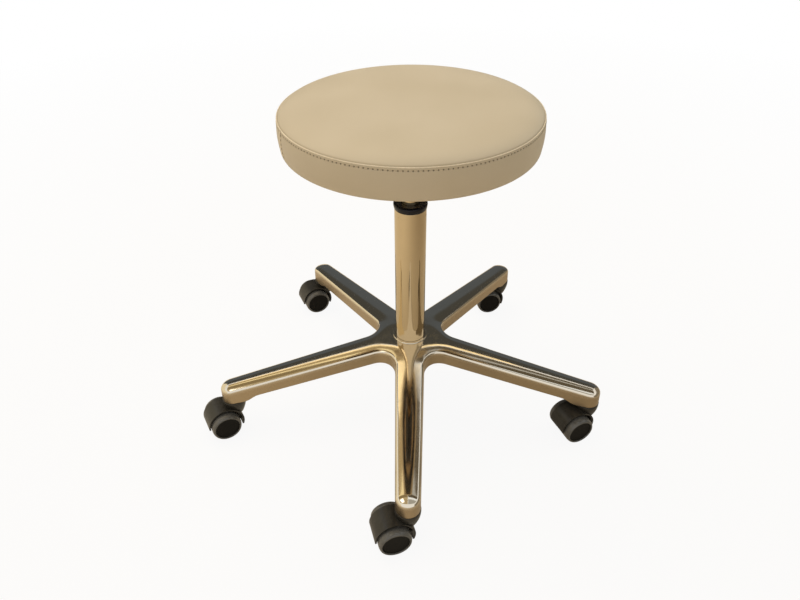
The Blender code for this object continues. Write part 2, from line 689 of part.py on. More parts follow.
def make_cushion(lift):
    """Foam and cover: a crowned top, a band that swells and draws in below, and a hem under the board."""
    shares = (0.0, 0.30, 0.52, 0.70, 0.83, 0.92, 0.97)
    profile = [(SEAT_RADIUS * share, seat_top(SEAT_RADIUS * share)) for share in shares]
    band_low = SEAT_BOTTOM + SEAT_LOWER_ROUND
    for step in range(5):
        share = step / 4
        swell = SEAT_BAND_BULGE * math.sin(math.pi * share) - SEAT_TUCK * share ** 3
        profile.append((SEAT_RADIUS + swell, SEAT_SEAM_HEIGHT + (band_low - SEAT_SEAM_HEIGHT) * share))
    low_radius = SEAT_RADIUS - SEAT_TUCK
    profile += arc((low_radius - SEAT_LOWER_ROUND, band_low), SEAT_LOWER_ROUND, 0, -90, 3)[1:]
    pocket = BOARD_RADIUS + GAP
    profile += [
        (HEM_RADIUS, SEAT_BOTTOM),
        (HEM_RADIUS, SEAT_BOTTOM + COVER_THICKNESS),
        (pocket, SEAT_BOTTOM + COVER_THICKNESS),
        (pocket, BOARD_TOP + GAP),
        (0, BOARD_TOP + GAP),
    ]
    turned_part("seat_cushion", profile, CREAM_LEATHER, lift, SEAT_STEPS)


def screw_places():
    """Where the four screws go through the plate into the board."""
    half = SCREW_SPACING / 2
    return [(half, half), (-half, half), (-half, -half), (half, -half)]


def make_board(lift):
    """The plywood disc under the cushion, drilled for the plate's screws, and the lining below it."""
    profile = [(0, BOARD_TOP), (BOARD_RADIUS, BOARD_TOP), (BOARD_RADIUS, BOARD_BOTTOM), (0, BOARD_BOTTOM)]
    board = turned_part("seat_board", profile, PLYWOOD, lift, SEAT_STEPS)
    deep = BOARD_BOTTOM + SCREW_IN_BOARD + GAP
    holes = [
        cylinder_mesh("drilling", SCREW_RADIUS + GAP, BOARD_BOTTOM - GAP, deep, place, 10)
        for place in screw_places()
    ]
    shaped(board, "DIFFERENCE", *holes)
    lining = ring_profile(
        LINING_HOLE_RADIUS, HEM_RADIUS - GAP, SEAT_BOTTOM, SEAT_BOTTOM + COVER_THICKNESS,
    )
    turned_part("underside_lining", lining, BLACK_LINING, lift, SEAT_STEPS)


def plate_outline_mesh():
    """The seat plate's square flange with rounded corners."""
    half = PLATE_SIDE / 2 - PLATE_CORNER
    points = []
    for number, (x, y) in enumerate(((half, half), (-half, half), (-half, -half), (half, -half))):
        points += arc((x, y), PLATE_CORNER, 90 * number, 90 * number + 90, 4)
    outline = bpy.data.curves.new("plate_outline", "CURVE")
    outline.dimensions = "2D"
    outline.fill_mode = "BOTH"
    outline.extrude = PLATE_THICKNESS / 2
    spline = outline.splines.new("POLY")
    spline.points.add(len(points) - 1)
    for spot, (x, y) in zip(spline.points, points):
        spot.co = (x, y, 0, 1)
    spline.use_cyclic_u = True
    blank = bpy.data.objects.new("plate_outline", outline)
    SHAPING.objects.link(blank)
    blank.location.z = PLATE_BOTTOM + PLATE_THICKNESS / 2
    return welded(frozen(blank, "plate_outline"))


def dish_mesh():
    """The pressed dish under the flange with the tapered socket that takes the cylinder's cone."""
    wall = PLATE_THICKNESS
    socket = CYLINDER_RADIUS + GAP + SOCKET_WALL
    return turned_mesh("dish", [
        (DISH_RADIUS + wall, PLATE_BOTTOM + wall / 2),
        (DISH_FLOOR_RADIUS + wall, DISH_FLOOR_BOTTOM),
        (socket, DISH_FLOOR_BOTTOM),
        (socket, SOCKET_BOTTOM),
        (cone_radius(SOCKET_BOTTOM) + GAP, SOCKET_BOTTOM),
        (cone_radius(DISH_FLOOR_TOP) + GAP, DISH_FLOOR_TOP),
        (DISH_FLOOR_RADIUS, DISH_FLOOR_TOP),
        (DISH_RADIUS, PLATE_BOTTOM + wall / 2),
    ], TURN_STEPS)


def make_seat_plate(lift):
    """The pressed steel plate: flange, dish, socket, lugs for the lever's pin and a slot for the lever."""
    plate = new_object("seat_plate_blank", plate_outline_mesh())
    below = PLATE_BOTTOM - PLATE_THICKNESS
    above = PLATE_TOP + PLATE_THICKNESS
    opening = cylinder_mesh("opening", DISH_RADIUS - PLATE_THICKNESS / 3, below, above, steps=TURN_STEPS)
    holes = [
        cylinder_mesh("hole", SCREW_RADIUS + GAP, below, above, place, 10)
        for place in screw_places()
    ]
    shaped(plate, "DIFFERENCE", opening, *holes)
    inside = LEVER_RADIUS + LUG_SIDE_GAP
    lugs = []
    for side in (-1, 1):
        near, far = sorted((side * inside, side * (inside + LUG_THICKNESS)))
        lugs.append(box_mesh(
            "lug", (near, LEVER_PIVOT_Y - LUG_HALF_LENGTH, DISH_FLOOR_TOP - PLATE_THICKNESS / 3),
            (far, LEVER_PIVOT_Y + LUG_HALF_LENGTH, LEVER_HEIGHT + LEVER_RADIUS),
        ))
    shaped(plate, "UNION", dish_mesh(), *lugs)
    half_slot = LEVER_RADIUS + LEVER_SLOT_SIDE
    slot = box_mesh(
        "slot", (-half_slot, DISH_FLOOR_RADIUS - PLATE_THICKNESS, DISH_FLOOR_TOP + PLATE_THICKNESS),
        (half_slot, DISH_RADIUS + 3 * PLATE_THICKNESS, PLATE_BOTTOM - PLATE_THICKNESS / 6),
    )
    shaped(plate, "DIFFERENCE", slot, pivot_bore_mesh("lug_bore"))
    mesh = frozen(plate, "seat_plate")
    smooth(mesh)
    new_object("seat_plate", mesh, BLACK_STEEL, lift)


def pivot_bore_mesh(name):
    """The cross bore that the lever's pin goes through, wide enough to turn on it."""
    reach = 2 * (LEVER_RADIUS + LUG_SIDE_GAP + LUG_THICKNESS)
    mesh = cylinder_mesh(name, PIVOT_PIN_RADIUS + GAP, -reach, reach, steps=12)
    mesh.transform(Matrix.Rotation(math.pi / 2, 4, "Y"))
    mesh.transform(Matrix.Translation((0, LEVER_PIVOT_Y, LEVER_HEIGHT)))
    return mesh


def make_screws(lift):
    """Four pan head screws that hold the plate to the board."""
    head_top = PLATE_BOTTOM - GAP
    mesh = turned_mesh("seat_screw", [
        (0, BOARD_BOTTOM + SCREW_IN_BOARD),
        (SCREW_RADIUS, BOARD_BOTTOM + SCREW_IN_BOARD - SCREW_RADIUS / 3),
        (SCREW_RADIUS, head_top),
        (SCREW_HEAD_RADIUS, head_top),
        (SCREW_HEAD_RADIUS, head_top - SCREW_HEAD / 2),
        (SCREW_HEAD_RADIUS * 0.7, head_top - SCREW_HEAD),
        (0, head_top - SCREW_HEAD),
    ], 10)
    smooth(mesh)
    for number, (x, y) in enumerate(screw_places(), 1):
        screw = new_object(f"seat_screw_{number}", mesh, ZINC_STEEL, lift)
        screw.location = (x, y, 0)


def lever_mesh():
    """The bent release rod, drilled for its pin."""
    path = bpy.data.curves.new("lever_path", "CURVE")
    path.dimensions = "3D"
    path.bevel_depth = LEVER_RADIUS
    path.bevel_resolution = 2
    path.resolution_u = 5
    path.use_fill_caps = True
    spline = path.splines.new("BEZIER")
    low = LEVER_HEIGHT - LEVER_DROP
    bend = (LEVER_DROP_Y - LEVER_BEND_Y) / 3
    stops = (
        (-LEVER_PAST_PIN, LEVER_HEIGHT, bend), (LEVER_BEND_Y, LEVER_HEIGHT, bend),
        (LEVER_DROP_Y, low, bend), (LEVER_END_Y, low, bend),
    )
    spline.bezier_points.add(len(stops) - 1)
    for spot, (y, z, handle) in zip(spline.bezier_points, stops):
        spot.co = (0, y, z)
        spot.handle_left = (0, y - handle, z)
        spot.handle_right = (0, y + handle, z)
    blank = bpy.data.objects.new("lever_path", path)
    SHAPING.objects.link(blank)
    rod = new_object("lever_blank", welded(frozen(blank, "lever_rod")))
    shaped(rod, "DIFFERENCE", pivot_bore_mesh("lever_bore"))
    return frozen(rod, "release_lever")


def grip_mesh():
    """The flat finger grip, pushed on over the lever's end."""
    low = LEVER_HEIGHT - LEVER_DROP
    end = LEVER_END_Y + GRIP_PAST_LEVER
    start = end - GRIP_LENGTH
    block = new_object("grip_blank", box_mesh(
        "grip",
        (-GRIP_HALF_WIDTH, start, low - GRIP_HALF_HEIGHT),
        (GRIP_HALF_WIDTH, end, low + GRIP_HALF_HEIGHT),
    ))
    rounded = block.modifiers.new("round", "BEVEL")
    rounded.width = GRIP_ROUND
    rounded.segments = 2
    depth = LEVER_END_Y + GAP - start
    bore = cylinder_mesh("grip_bore", LEVER_RADIUS + GAP, -GRIP_LENGTH, depth, steps=12)
    laid_along_y(bore).transform(Matrix.Translation((0, start, low)))
    shaped(block, "DIFFERENCE", bore)
    return frozen(block, "lever_grip")


def make_release(lift):
    """The valve pin, the lever that presses it and the lever's pin and grip."""
    pin_low = CYLINDER_TOP - VALVE_PIN_IN_HEAD
    valve = joint_axis("valve_pin_axis", parent=lift)
    turned_part("release_button", [
        (0, VALVE_PIN_TOP),
        (VALVE_PIN_RADIUS - VALVE_PIN_CHAMFER, VALVE_PIN_TOP),
        (VALVE_PIN_RADIUS, VALVE_PIN_TOP - VALVE_PIN_CHAMFER),
        (VALVE_PIN_RADIUS, pin_low),
        (0, pin_low),
    ], ZINC_STEEL, valve, SMALL_STEPS)

    pivot = (0, LEVER_PIVOT_Y, LEVER_HEIGHT)
    hinge = joint_axis("lever_pivot_axis", pivot, parent=lift)
    to_pivot = Matrix.Translation(-Vector(pivot))
    for name, mesh, material in (
        ("release_lever", lever_mesh(), BLACK_STEEL),
        ("lever_grip", grip_mesh(), HOOD_BLACK),
    ):
        mesh.transform(to_pivot)
        smooth(mesh)
        new_object(name, mesh, material, hinge)

    reach = LEVER_RADIUS + LUG_SIDE_GAP + LUG_THICKNESS + PIVOT_PIN_RADIUS / 2
    pin = cylinder_mesh("lever_pivot_pin", PIVOT_PIN_RADIUS, -reach, reach, steps=12)
    pin.transform(Matrix.Rotation(math.pi / 2, 4, "Y"))
    smooth(pin)
    new_object("lever_pivot_pin", pin, ZINC_STEEL, lift).location = pivot


# Casters

def stem_mesh():
    """The steel stem: pressed into the arm up to its grip ring's groove, with the housing turning on it."""
    top = TIP_BOTTOM + STEM_IN_ARM
    low = HOUSING_TOP - STEM_IN_HOUSING
    waist = STEM_RADIUS - STEM_GROOVE
    groove = TIP_BOTTOM + STEM_IN_ARM * 0.62
    return turned_mesh("caster_stem", [
        (0, top),
        (STEM_RADIUS - STEM_GROOVE, top),
        (STEM_RADIUS, top - STEM_GROOVE * 2),
        (STEM_RADIUS, groove + STEM_GROOVE * 3),
        (waist, groove + STEM_GROOVE * 2),
        (waist, groove),
        (STEM_RADIUS, groove - STEM_GROOVE),
        (STEM_RADIUS, low),
        (0, low),
    ], 12)


def hood_cut_mesh():
    """The space below the hood's two ends, seen along the axle."""
    front = math.radians(180 + HOOD_FRONT_DROP)
    rear = math.radians(360 - HOOD_REAR_DROP)
    far = 3 * HOOD_OUTER
    turns = [front, front + (rear - front) / 3, rear - (rear - front) / 3, rear]

    def draw(drawn):
        flat = [(0.0, 0.0)] + [(far * math.cos(a), far * math.sin(a)) for a in turns]
        face = drawn.faces.new([drawn.verts.new((x, -HOOD_OUTER, z)) for x, z in flat])
        made = bmesh.ops.extrude_face_region(drawn, geom=[face])
        moved = [vert for vert in made["geom"] if isinstance(vert, bmesh.types.BMVert)]
        bmesh.ops.translate(drawn, verts=moved, vec=(0, 2 * HOOD_OUTER, 0))
        bmesh.ops.recalc_face_normals(drawn, faces=drawn.faces)
        bmesh.ops.translate(drawn, verts=drawn.verts, vec=(CASTER_TRAIL - HOOD_SHIFT, 0, WHEEL_RADIUS))

    return mesh_of(draw, "hood_cut")


def along_axle(name, radius, low, high, steps, shift=0.0):
    """A cylinder along the axle, between two distances from the caster's middle plane."""
    mesh = laid_along_y(cylinder_mesh(name, radius, low, high, steps=steps))
    mesh.transform(Matrix.Translation((CASTER_TRAIL - shift, 0, WHEEL_RADIUS)))
    return mesh


def neck_mesh():
    """The neck under the arm's tip: a collar that rounds in to the hood."""
    depth = NECK_RADIUS - NECK_FOOT_RADIUS
    foot = HOUSING_TOP - NECK_FOOT_DEPTH
    return turned_mesh("neck", [
        (0, HOUSING_TOP),
        (NECK_RADIUS - depth / 10, HOUSING_TOP),
        (NECK_RADIUS, HOUSING_TOP - depth / 10),
        (NECK_RADIUS, HOUSING_TOP - NECK_FOOT_DEPTH * 0.22),
        (NECK_RADIUS - depth * 0.25, HOUSING_TOP - NECK_FOOT_DEPTH * 0.42),
        (NECK_RADIUS - depth * 0.65, HOUSING_TOP - NECK_FOOT_DEPTH * 0.62),
        (NECK_FOOT_RADIUS, foot),
        (0, foot),
    ], 18)


def housing_mesh():
    """The moulded housing: a hood over both wheels, the web between them, the axle's boss and the neck."""
    body = new_object("housing_blank", along_axle(
        "hood", HOOD_OUTER, -HOOD_HALF_WIDTH, HOOD_HALF_WIDTH, TURN_STEPS, HOOD_SHIFT,
    ))
    shaped(body, "DIFFERENCE", hood_cut_mesh())
    shaped(body, "UNION", neck_mesh())
    web = FORK_WEB / 2
    outside = 2 * HOOD_HALF_WIDTH
    pockets = [
        along_axle("pocket", HOOD_INNER, near, far, TURN_STEPS, HOOD_SHIFT)
        for near, far in ((-outside, -web), (web, outside))
    ]
    shaped(body, "DIFFERENCE", *pockets)
    boss = WHEEL_HUB_FACE - GAP
    shaped(body, "UNION", along_axle("axle_boss", AXLE_BOSS_RADIUS, -boss, boss, SMALL_STEPS))
    deep = HOUSING_TOP - STEM_IN_HOUSING - GAP
    bore = cylinder_mesh("stem_bore", STEM_RADIUS + GAP, deep, HOUSING_TOP + STEM_RADIUS, steps=12)
    axle_bore = along_axle("axle_bore", AXLE_RADIUS + GAP, -FORK_WEB, FORK_WEB, 12)
    shaped(body, "DIFFERENCE", bore, axle_bore)
    return frozen(body, "caster_housing")


def wheel_core_mesh():
    """The moulded wheel: a flat recessed face, a rim under the tread and a blind bore, its axis along Z."""
    face = WHEEL_FACE - DISC_RECESS
    rim = WHEEL_RADIUS - TREAD_THICKNESS - GAP
    return turned_mesh("wheel_core", [
        (0, face),
        (rim, face),
        (rim, WHEEL_INNER),
        (AXLE_BOSS_RADIUS, WHEEL_HUB_FACE),
        (AXLE_RADIUS + GAP, WHEEL_HUB_FACE),
        (AXLE_RADIUS + GAP, AXLE_HALF_LENGTH + GAP),
        (0, AXLE_HALF_LENGTH + GAP),
    ], WHEEL_STEPS)


def tread_mesh():
    """The soft tyre round a wheel, with a narrow flat face and a round outer shoulder."""
    inner = WHEEL_RADIUS - TREAD_THICKNESS
    edge = inner + TREAD_FACE
    shoulder = [
        (edge + (WHEEL_RADIUS - edge) * across, WHEEL_FACE - TREAD_SHOULDER * (1 - out))
        for across, out in arc((0, 0), 1, 90, 0, 3)
    ]
    return turned_mesh("wheel_tread", [
        (inner, WHEEL_FACE - DISC_RECESS / 4),
        *shoulder,
        (WHEEL_RADIUS, WHEEL_INNER),
        (inner, WHEEL_INNER),
    ], WHEEL_STEPS)


def make_casters():
    """Five casters: a stem in each arm, a housing that swivels on it, and two wheels that turn apart."""
    axle = cylinder_mesh("caster_axle", AXLE_RADIUS, -AXLE_HALF_LENGTH, AXLE_HALF_LENGTH, steps=12)
    meshes = {
        "stem": stem_mesh(),
        "housing": housing_mesh(),
        "axle": laid_along_y(axle),
        "wheel": wheel_core_mesh(),
        "tread": tread_mesh(),
    }
    for mesh in meshes.values():
        smooth(mesh)
    for number, heading in enumerate(CASTER_HEADINGS):
        name = f"caster_{number + 1}"
        x, y = stem_place(number)
        new_object(f"{name}_stem", meshes["stem"], ZINC_STEEL).location = (x, y, 0)
        swivel = joint_axis(f"{name}_swivel_axis", (x, y, 0), math.radians(heading))
        new_object(f"{name}_housing", meshes["housing"], HOOD_BLACK, swivel)
        axle = new_object(f"{name}_axle", meshes["axle"], ZINC_STEEL, swivel)
        axle.location = (CASTER_TRAIL, 0, WHEEL_RADIUS)
        for side, turn in (("a", -math.pi / 2), ("b", math.pi / 2)):
            for piece, material in (("wheel", DISC_BLACK), ("tread", GREY_TREAD)):
                wheel = new_object(f"{name}_{piece}_{side}", meshes[piece], material, swivel)
                wheel.location = (CASTER_TRAIL, 0, WHEEL_RADIUS)
                wheel.rotation_euler = (turn, 0, 0)


def main():
    """Builds the stool from the floor up."""
    make_star_base()
    make_casters()
    make_column()
    swivel = joint_axis("seat_swivel_axis")
    make_piston_rod(swivel)
    lift = joint_axis("seat_lift_axis", parent=swivel)
    make_gas_cylinder(lift)
    make_seat_plate(lift)
    make_screws(lift)
    make_release(lift)
    make_board(lift)
    make_cushion(lift)


main()
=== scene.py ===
"""Dresses the rolling stool: a sewn round seat, a chromed gas lift and a polished star base on hooded casters.

All sizes are in metres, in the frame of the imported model. Each sub-assembly is a class that holds its sizes,
computes its surfaces as whole arrays and dresses them with its finishes.
"""

from __future__ import annotations

import logging
import math
from dataclasses import dataclass, field
from enum import Enum
from typing import Sequence

import bmesh
import bpy
import numpy as np
from mathutils import Matrix, Vector


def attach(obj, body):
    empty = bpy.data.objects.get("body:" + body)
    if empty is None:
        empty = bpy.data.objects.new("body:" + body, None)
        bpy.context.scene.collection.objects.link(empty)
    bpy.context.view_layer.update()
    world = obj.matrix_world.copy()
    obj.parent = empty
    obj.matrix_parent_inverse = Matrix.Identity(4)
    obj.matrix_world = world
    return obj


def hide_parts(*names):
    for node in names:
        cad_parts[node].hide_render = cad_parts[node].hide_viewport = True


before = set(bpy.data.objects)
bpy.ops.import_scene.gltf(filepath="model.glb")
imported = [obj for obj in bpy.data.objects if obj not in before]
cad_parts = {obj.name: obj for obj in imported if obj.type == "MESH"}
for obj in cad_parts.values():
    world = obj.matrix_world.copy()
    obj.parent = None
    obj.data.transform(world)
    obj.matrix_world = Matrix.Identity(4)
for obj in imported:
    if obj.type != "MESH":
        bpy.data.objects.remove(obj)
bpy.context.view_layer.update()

LOG = logging.getLogger("rolling_stool")
IMAGE_WIDTH = 800
TURN = 2 * math.pi
WHITE = (1.0, 1.0, 1.0)
Array = np.ndarray
Item, Material, Mesh = bpy.types.Object, bpy.types.Material, bpy.types.Mesh
Colour = tuple[float, float, float]
Finishes = dict[str, Material]


class Body(str, Enum):
    """The rigid bodies that pieces ride on, apart from the casters'."""

    BASE = "base"
    SEAT = "seat"
    LEVER = "lever"


class Slot(str, Enum):
    """The record's material slots."""

    LEATHER = "cream_leather"
    LINING = "black_lining"
    BLACK_STEEL = "black_steel"
    ZINC = "zinc_steel"
    CHROME = "chrome"
    ALUMINIUM = "polished_aluminium"
    GLOSS_BLACK = "gloss_black_plastic"
    HOOD = "hood_black_plastic"
    DISC = "disc_black_plastic"
    TREAD = "grey_tread"


# Surfaces


def whole_turn(steps: int) -> Array:
    """Angles of equal steps round a whole turn, without its end."""
    return np.linspace(0.0, TURN, steps, endpoint=False)


def unit(angle: Array) -> Array:
    """Points on a circle of radius 1 in plan, shape (n, 2)."""
    return np.column_stack((np.cos(angle), np.sin(angle)))


def wrapped(angle: Array) -> Array:
    """Angles brought between minus half a turn and half a turn."""
    return np.angle(np.exp(1j * angle))


def bell(away: Array, width: float) -> Array:
    """A bell curve, exp(-(away / width)^2)."""
    return np.exp(-((away / width) ** 2))


def squared(angle: Array, power: float) -> Array:
    """Reach of a superellipse, (|cos a|^p + |sin a|^p)^(-1/p)."""
    return (np.abs(np.cos(angle)) ** power + np.abs(np.sin(angle)) ** power) ** (-1 / power)


def bend(share: Array, start: Array, corner: Array, end: Array) -> Array:
    """A quadratic curve from a start to an end, drawn towards a corner."""
    return (1 - share) ** 2 * start + 2 * share * (1 - share) * corner + share ** 2 * end


def eased(share: Array) -> Array:
    """A smooth step, s^2 (3 - 2 s)."""
    return share ** 2 * (3 - 2 * share)


def turned(points: Array, angle: float) -> Array:
    """Points turned about Z."""
    c, s = math.cos(angle), math.sin(angle)
    return points @ np.array([[c, s, 0.0], [-s, c, 0.0], [0.0, 0.0, 1.0]])


def raised(flat: Array, height: Array) -> Array:
    """Plan points (..., 2) with their heights (...)."""
    return np.concatenate((flat, height[..., None]), axis=-1)


def grid_faces(rows: int, columns: int, wrap_rows: bool, wrap_columns: bool) -> Array:
    """Numbers the faces of a grid whose point (i, j) has number i * columns + j.

    Args:
        rows: Points along the first parameter.
        columns: Points along the second parameter.
        wrap_rows: Whether the last row joins the first.
        wrap_columns: Whether the last column joins the first.

    Returns:
        Four-cornered faces, shape (m, 4).
    """
    i, j = np.meshgrid(np.arange(rows - (not wrap_rows)), np.arange(columns - (not wrap_columns)), indexing="ij")
    after_i, after_j = (i + 1) % rows, (j + 1) % columns
    corners = (i * columns + j, after_i * columns + j, after_i * columns + after_j, i * columns + after_j)
    return np.stack([corner.ravel() for corner in corners], axis=1)


@dataclass
class Shell:
    """A surface: points (n, 3), four-cornered faces (m, 4) and named shares, one for each point, for a finish."""

    points: Array
    faces: Array
    shares: dict[str, Array] = field(default_factory=dict)

    @staticmethod
    def grid(x: Array, y: Array, z: Array, wrap_rows: bool = False, wrap_columns: bool = True) -> Shell:
        """A surface over two parameters.

        Args:
            x: One coordinate of the points, in a shape that numpy spreads to (rows, columns).
            y: The next coordinate, likewise.
            z: The last coordinate, likewise.
            wrap_rows: Whether the last row joins the first.
            wrap_columns: Whether the last column joins the first.

        Returns:
            The shell.
        """
        points = np.stack(np.broadcast_arrays(x, y, z), axis=-1)
        return Shell(points.reshape(-1, 3), grid_faces(*points.shape[:2], wrap_rows, wrap_columns))

    @staticmethod
    def round_z(radius: Array, angle: Array, height: Array, ring: bool = False) -> Shell:
        """A surface round Z, (r cos a, r sin a, z) at each row and column; a ring's last row joins its first."""
        return Shell.grid(radius * np.cos(angle), radius * np.sin(angle), height, ring)

    @staticmethod
    def box(low: Sequence[float], high: Sequence[float]) -> Shell:
        """A box between two corners."""
        ends = [(x, y, z) for z in (0, 1) for x, y in ((0, 0), (1, 0), (1, 1), (0, 1))]
        faces = [(3, 2, 1, 0), (4, 5, 6, 7), (0, 1, 5, 4), (1, 2, 6, 5), (2, 3, 7, 6), (3, 0, 4, 7)]
        return Shell(np.where(ends, high, low), np.array(faces))

    @staticmethod
    def joined(shells: Sequence[Shell]) -> Shell:
        """Puts shells that have the same named shares together in one."""
        starts = np.cumsum([0] + [len(shell.points) for shell in shells[:-1]])
        return Shell(
            np.concatenate([shell.points for shell in shells]),
            np.concatenate([shell.faces + start for shell, start in zip(shells, starts)]),
            {name: np.concatenate([shell.shares[name] for shell in shells]) for name in shells[0].shares},
        )

    def moved(self, angle: float = 0.0, place: Sequence[float] = (0.0, 0.0, 0.0)) -> Shell:
        """The shell turned about Z and then set down at a place."""
        return Shell(turned(self.points, angle) + np.asarray(place, float), self.faces, self.shares)

    def laid_along_y(self) -> Shell:
        """The shell laid down, so that what pointed up points along +Y."""
        x, y, z = self.points.T
        return Shell(np.column_stack((x, z, -y)), self.faces, self.shares)

    def plain_mesh(self, name: str) -> Mesh:
        """The shell as a mesh, just as it is."""
        made = bpy.data.meshes.new(name)
        made.from_pydata(self.points.tolist(), [], self.faces.tolist())
        return made

    def mesh(self, name: str, sharp: float = 40.0) -> Mesh:
        """Makes a mesh with closed seams and poles and faces that point outwards.

        Args:
            name: The mesh's name.
            sharp: Edges that bend more than this many degrees are shaded sharp.

        Returns:
            The mesh.
        """
        made = self.plain_mesh(name)
        for key, value in self.shares.items():
            made.attributes.new(key, "FLOAT", "POINT").data.foreach_set("value", value.astype(np.float32))
        drawn = bmesh.new()
        drawn.from_mesh(made)
        bmesh.ops.remove_doubles(drawn, verts=drawn.verts, dist=1e-6)
        bmesh.ops.dissolve_degenerate(drawn, edges=drawn.edges, dist=1e-7)
        bmesh.ops.recalc_face_normals(drawn, faces=drawn.faces)
        drawn.to_mesh(made)
        drawn.free()
        shade(made, sharp)
        return made


def lathe(profile: Array, steps: int = 96, ring: bool = False) -> Shell:
    """Carries a profile round Z.

    Args:
        profile: Points (radius, height), shape (n, 2).
        steps: How many times the profile is repeated round the axis.
        ring: Whether the profile is closed on itself, and not on the axis.

    Returns:
        A closed shell.
    """
    return Shell.round_z(profile[:, :1], whole_turn(steps), profile[:, 1:], ring)


def rod(radius: float, low: float, high: float, steps: int) -> Shell:
    """A cylinder round Z between two heights."""
    return lathe(np.array([(0.0, high), (radius, high), (radius, low), (0.0, low)]), steps)


def rounded(corners: Sequence[tuple[float, float, float]], ring: bool = False, steps: int = 5) -> Array:
    """Rounds the corners of a profile, each by a quadratic curve with a point of the straight side before and after.

    Args:
        corners: (radius, height, reach), where reach is how far the rounding goes along each side.
        ring: Whether the last corner joins the first.
        steps: Pieces in each rounding.

    Returns:
        Points (radius, height), shape (n, 2).
    """
    lead = 1.3  # how far along the sides the extra points stand, in reaches
    spots = np.array([corner[:2] for corner in corners], float)
    share = np.linspace(0.0, 1.0, steps + 1)[:, None]
    made: list[Array] = []
    for number, (spot, corner) in enumerate(zip(spots, corners)):
        if corner[2] <= 0 or not (ring or 0 < number < len(spots) - 1):
            made.append(spot[None])
            continue
        sides = spots[number - 1] - spot, spots[(number + 1) % len(spots)] - spot
        before, after = (side / np.linalg.norm(side) * corner[2] for side in sides)
        curve = bend(share, spot + before, spot, spot + after)
        made += [(spot + before * lead)[None], curve, (spot + after * lead)[None]]
    return np.concatenate(made)


# Objects


def shade(mesh: Mesh, sharp: float) -> None:
    """Shades a mesh smooth across edges that bend less than so many degrees."""
    mesh.shade_smooth()
    mesh.set_sharp_from_angle(angle=math.radians(sharp))


def coordinates(mesh: Mesh) -> Array:
    """A mesh's points, shape (n, 3)."""
    flat = np.empty(len(mesh.vertices) * 3)
    mesh.vertices.foreach_get("co", flat)
    return flat.reshape(-1, 3)


def new_object(name: str, mesh: Mesh) -> Item:
    """Puts a mesh in the scene, at the origin."""
    made = bpy.data.objects.new(name, mesh)
    bpy.context.scene.collection.objects.link(made)
    return made


def modify(item: Item, kind: str, **settings) -> bpy.types.Modifier:
    """Adds a modifier with its settings."""
    made = item.modifiers.new(kind.lower(), kind)
    for key, value in settings.items():
        setattr(made, key, value)
    return made


def evaluated(item: Item) -> Mesh:
    """The mesh of an object with its modifiers applied; the object is removed."""
    bpy.context.view_layer.update()
    mesh = bpy.data.meshes.new_from_object(item.evaluated_get(bpy.context.evaluated_depsgraph_get()))
    bpy.data.objects.remove(item, do_unlink=True)
    return mesh


def carved(name: str, blank: Shell, steps: Sequence[tuple[str, Shell]], edge: float) -> Mesh:
    """Cuts shells out of a blank and joins shells to it, and then rounds its sharp edges.

    Args:
        name: The mesh's name.
        blank: What the work starts from.
        steps: Pairs of a Boolean operation and a shell, in order.
        edge: How far each sharp edge is rounded.

    Returns:
        The finished mesh.
    """
    item = new_object(name, blank.mesh(name))
    tools = [new_object(f"{name}_tool", shell.mesh(f"{name}_tool")) for _, shell in steps]
    for (operation, _), tool in zip(steps, tools):
        modify(item, "BOOLEAN", operation=operation, solver="EXACT", object=tool)
    modify(item, "BEVEL", limit_method="ANGLE", angle_limit=math.radians(38), width=edge, segments=2)
    mesh = evaluated(item)
    for tool in tools:
        bpy.data.objects.remove(tool, do_unlink=True)
    mesh.name = name
    shade(mesh, 34.0)
    return mesh


def add_piece(
    name: str, shape: Shell | Mesh, material: Material, body: str,
    stands_for: Sequence[str] = (), sharp: float = 40.0,
) -> Item:
    """Puts a finished piece on its body.

    Args:
        name: The piece's name.
        shape: Its surface or its mesh, with its place in it.
        material: Its finish.
        body: The body that it rides on.
        stands_for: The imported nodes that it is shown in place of.
        sharp: Edges of a surface that bend more than this many degrees are shaded sharp.

    Returns:
        The piece's object.
    """
    mesh = shape.mesh(name, sharp) if isinstance(shape, Shell) else shape
    item = new_object(name, mesh)
    mesh.materials.clear()
    mesh.materials.append(material)
    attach(item, body)
    if stands_for:
        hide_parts(*stands_for)
    LOG.info("%s: %d faces on %s", name, len(mesh.polygons), body)
    return item


# Nodes


class Value:
    """A number, colour or vector that varies over a surface: a node's socket, which arithmetic can be done on."""

    def __init__(self, sheet: Sheet, socket: bpy.types.NodeSocket) -> None:
        """Takes the sheet that new nodes go on, and the socket."""
        self.sheet, self.socket = sheet, socket

    def __add__(self, other: Value | float) -> Value:
        """This and another added up."""
        return self.sheet.math("ADD", self, other)

    def __sub__(self, other: Value | float) -> Value:
        """This less another."""
        return self.sheet.math("SUBTRACT", self, other)

    def __rsub__(self, other: float) -> Value:
        """A number less this."""
        return self.sheet.math("SUBTRACT", other, self)

    def __mul__(self, other: Value | float) -> Value:
        """This times another."""
        return self.sheet.math("MULTIPLY", self, other)

    def __abs__(self) -> Value:
        """This without its sign."""
        return self.sheet.math("ABSOLUTE", self)


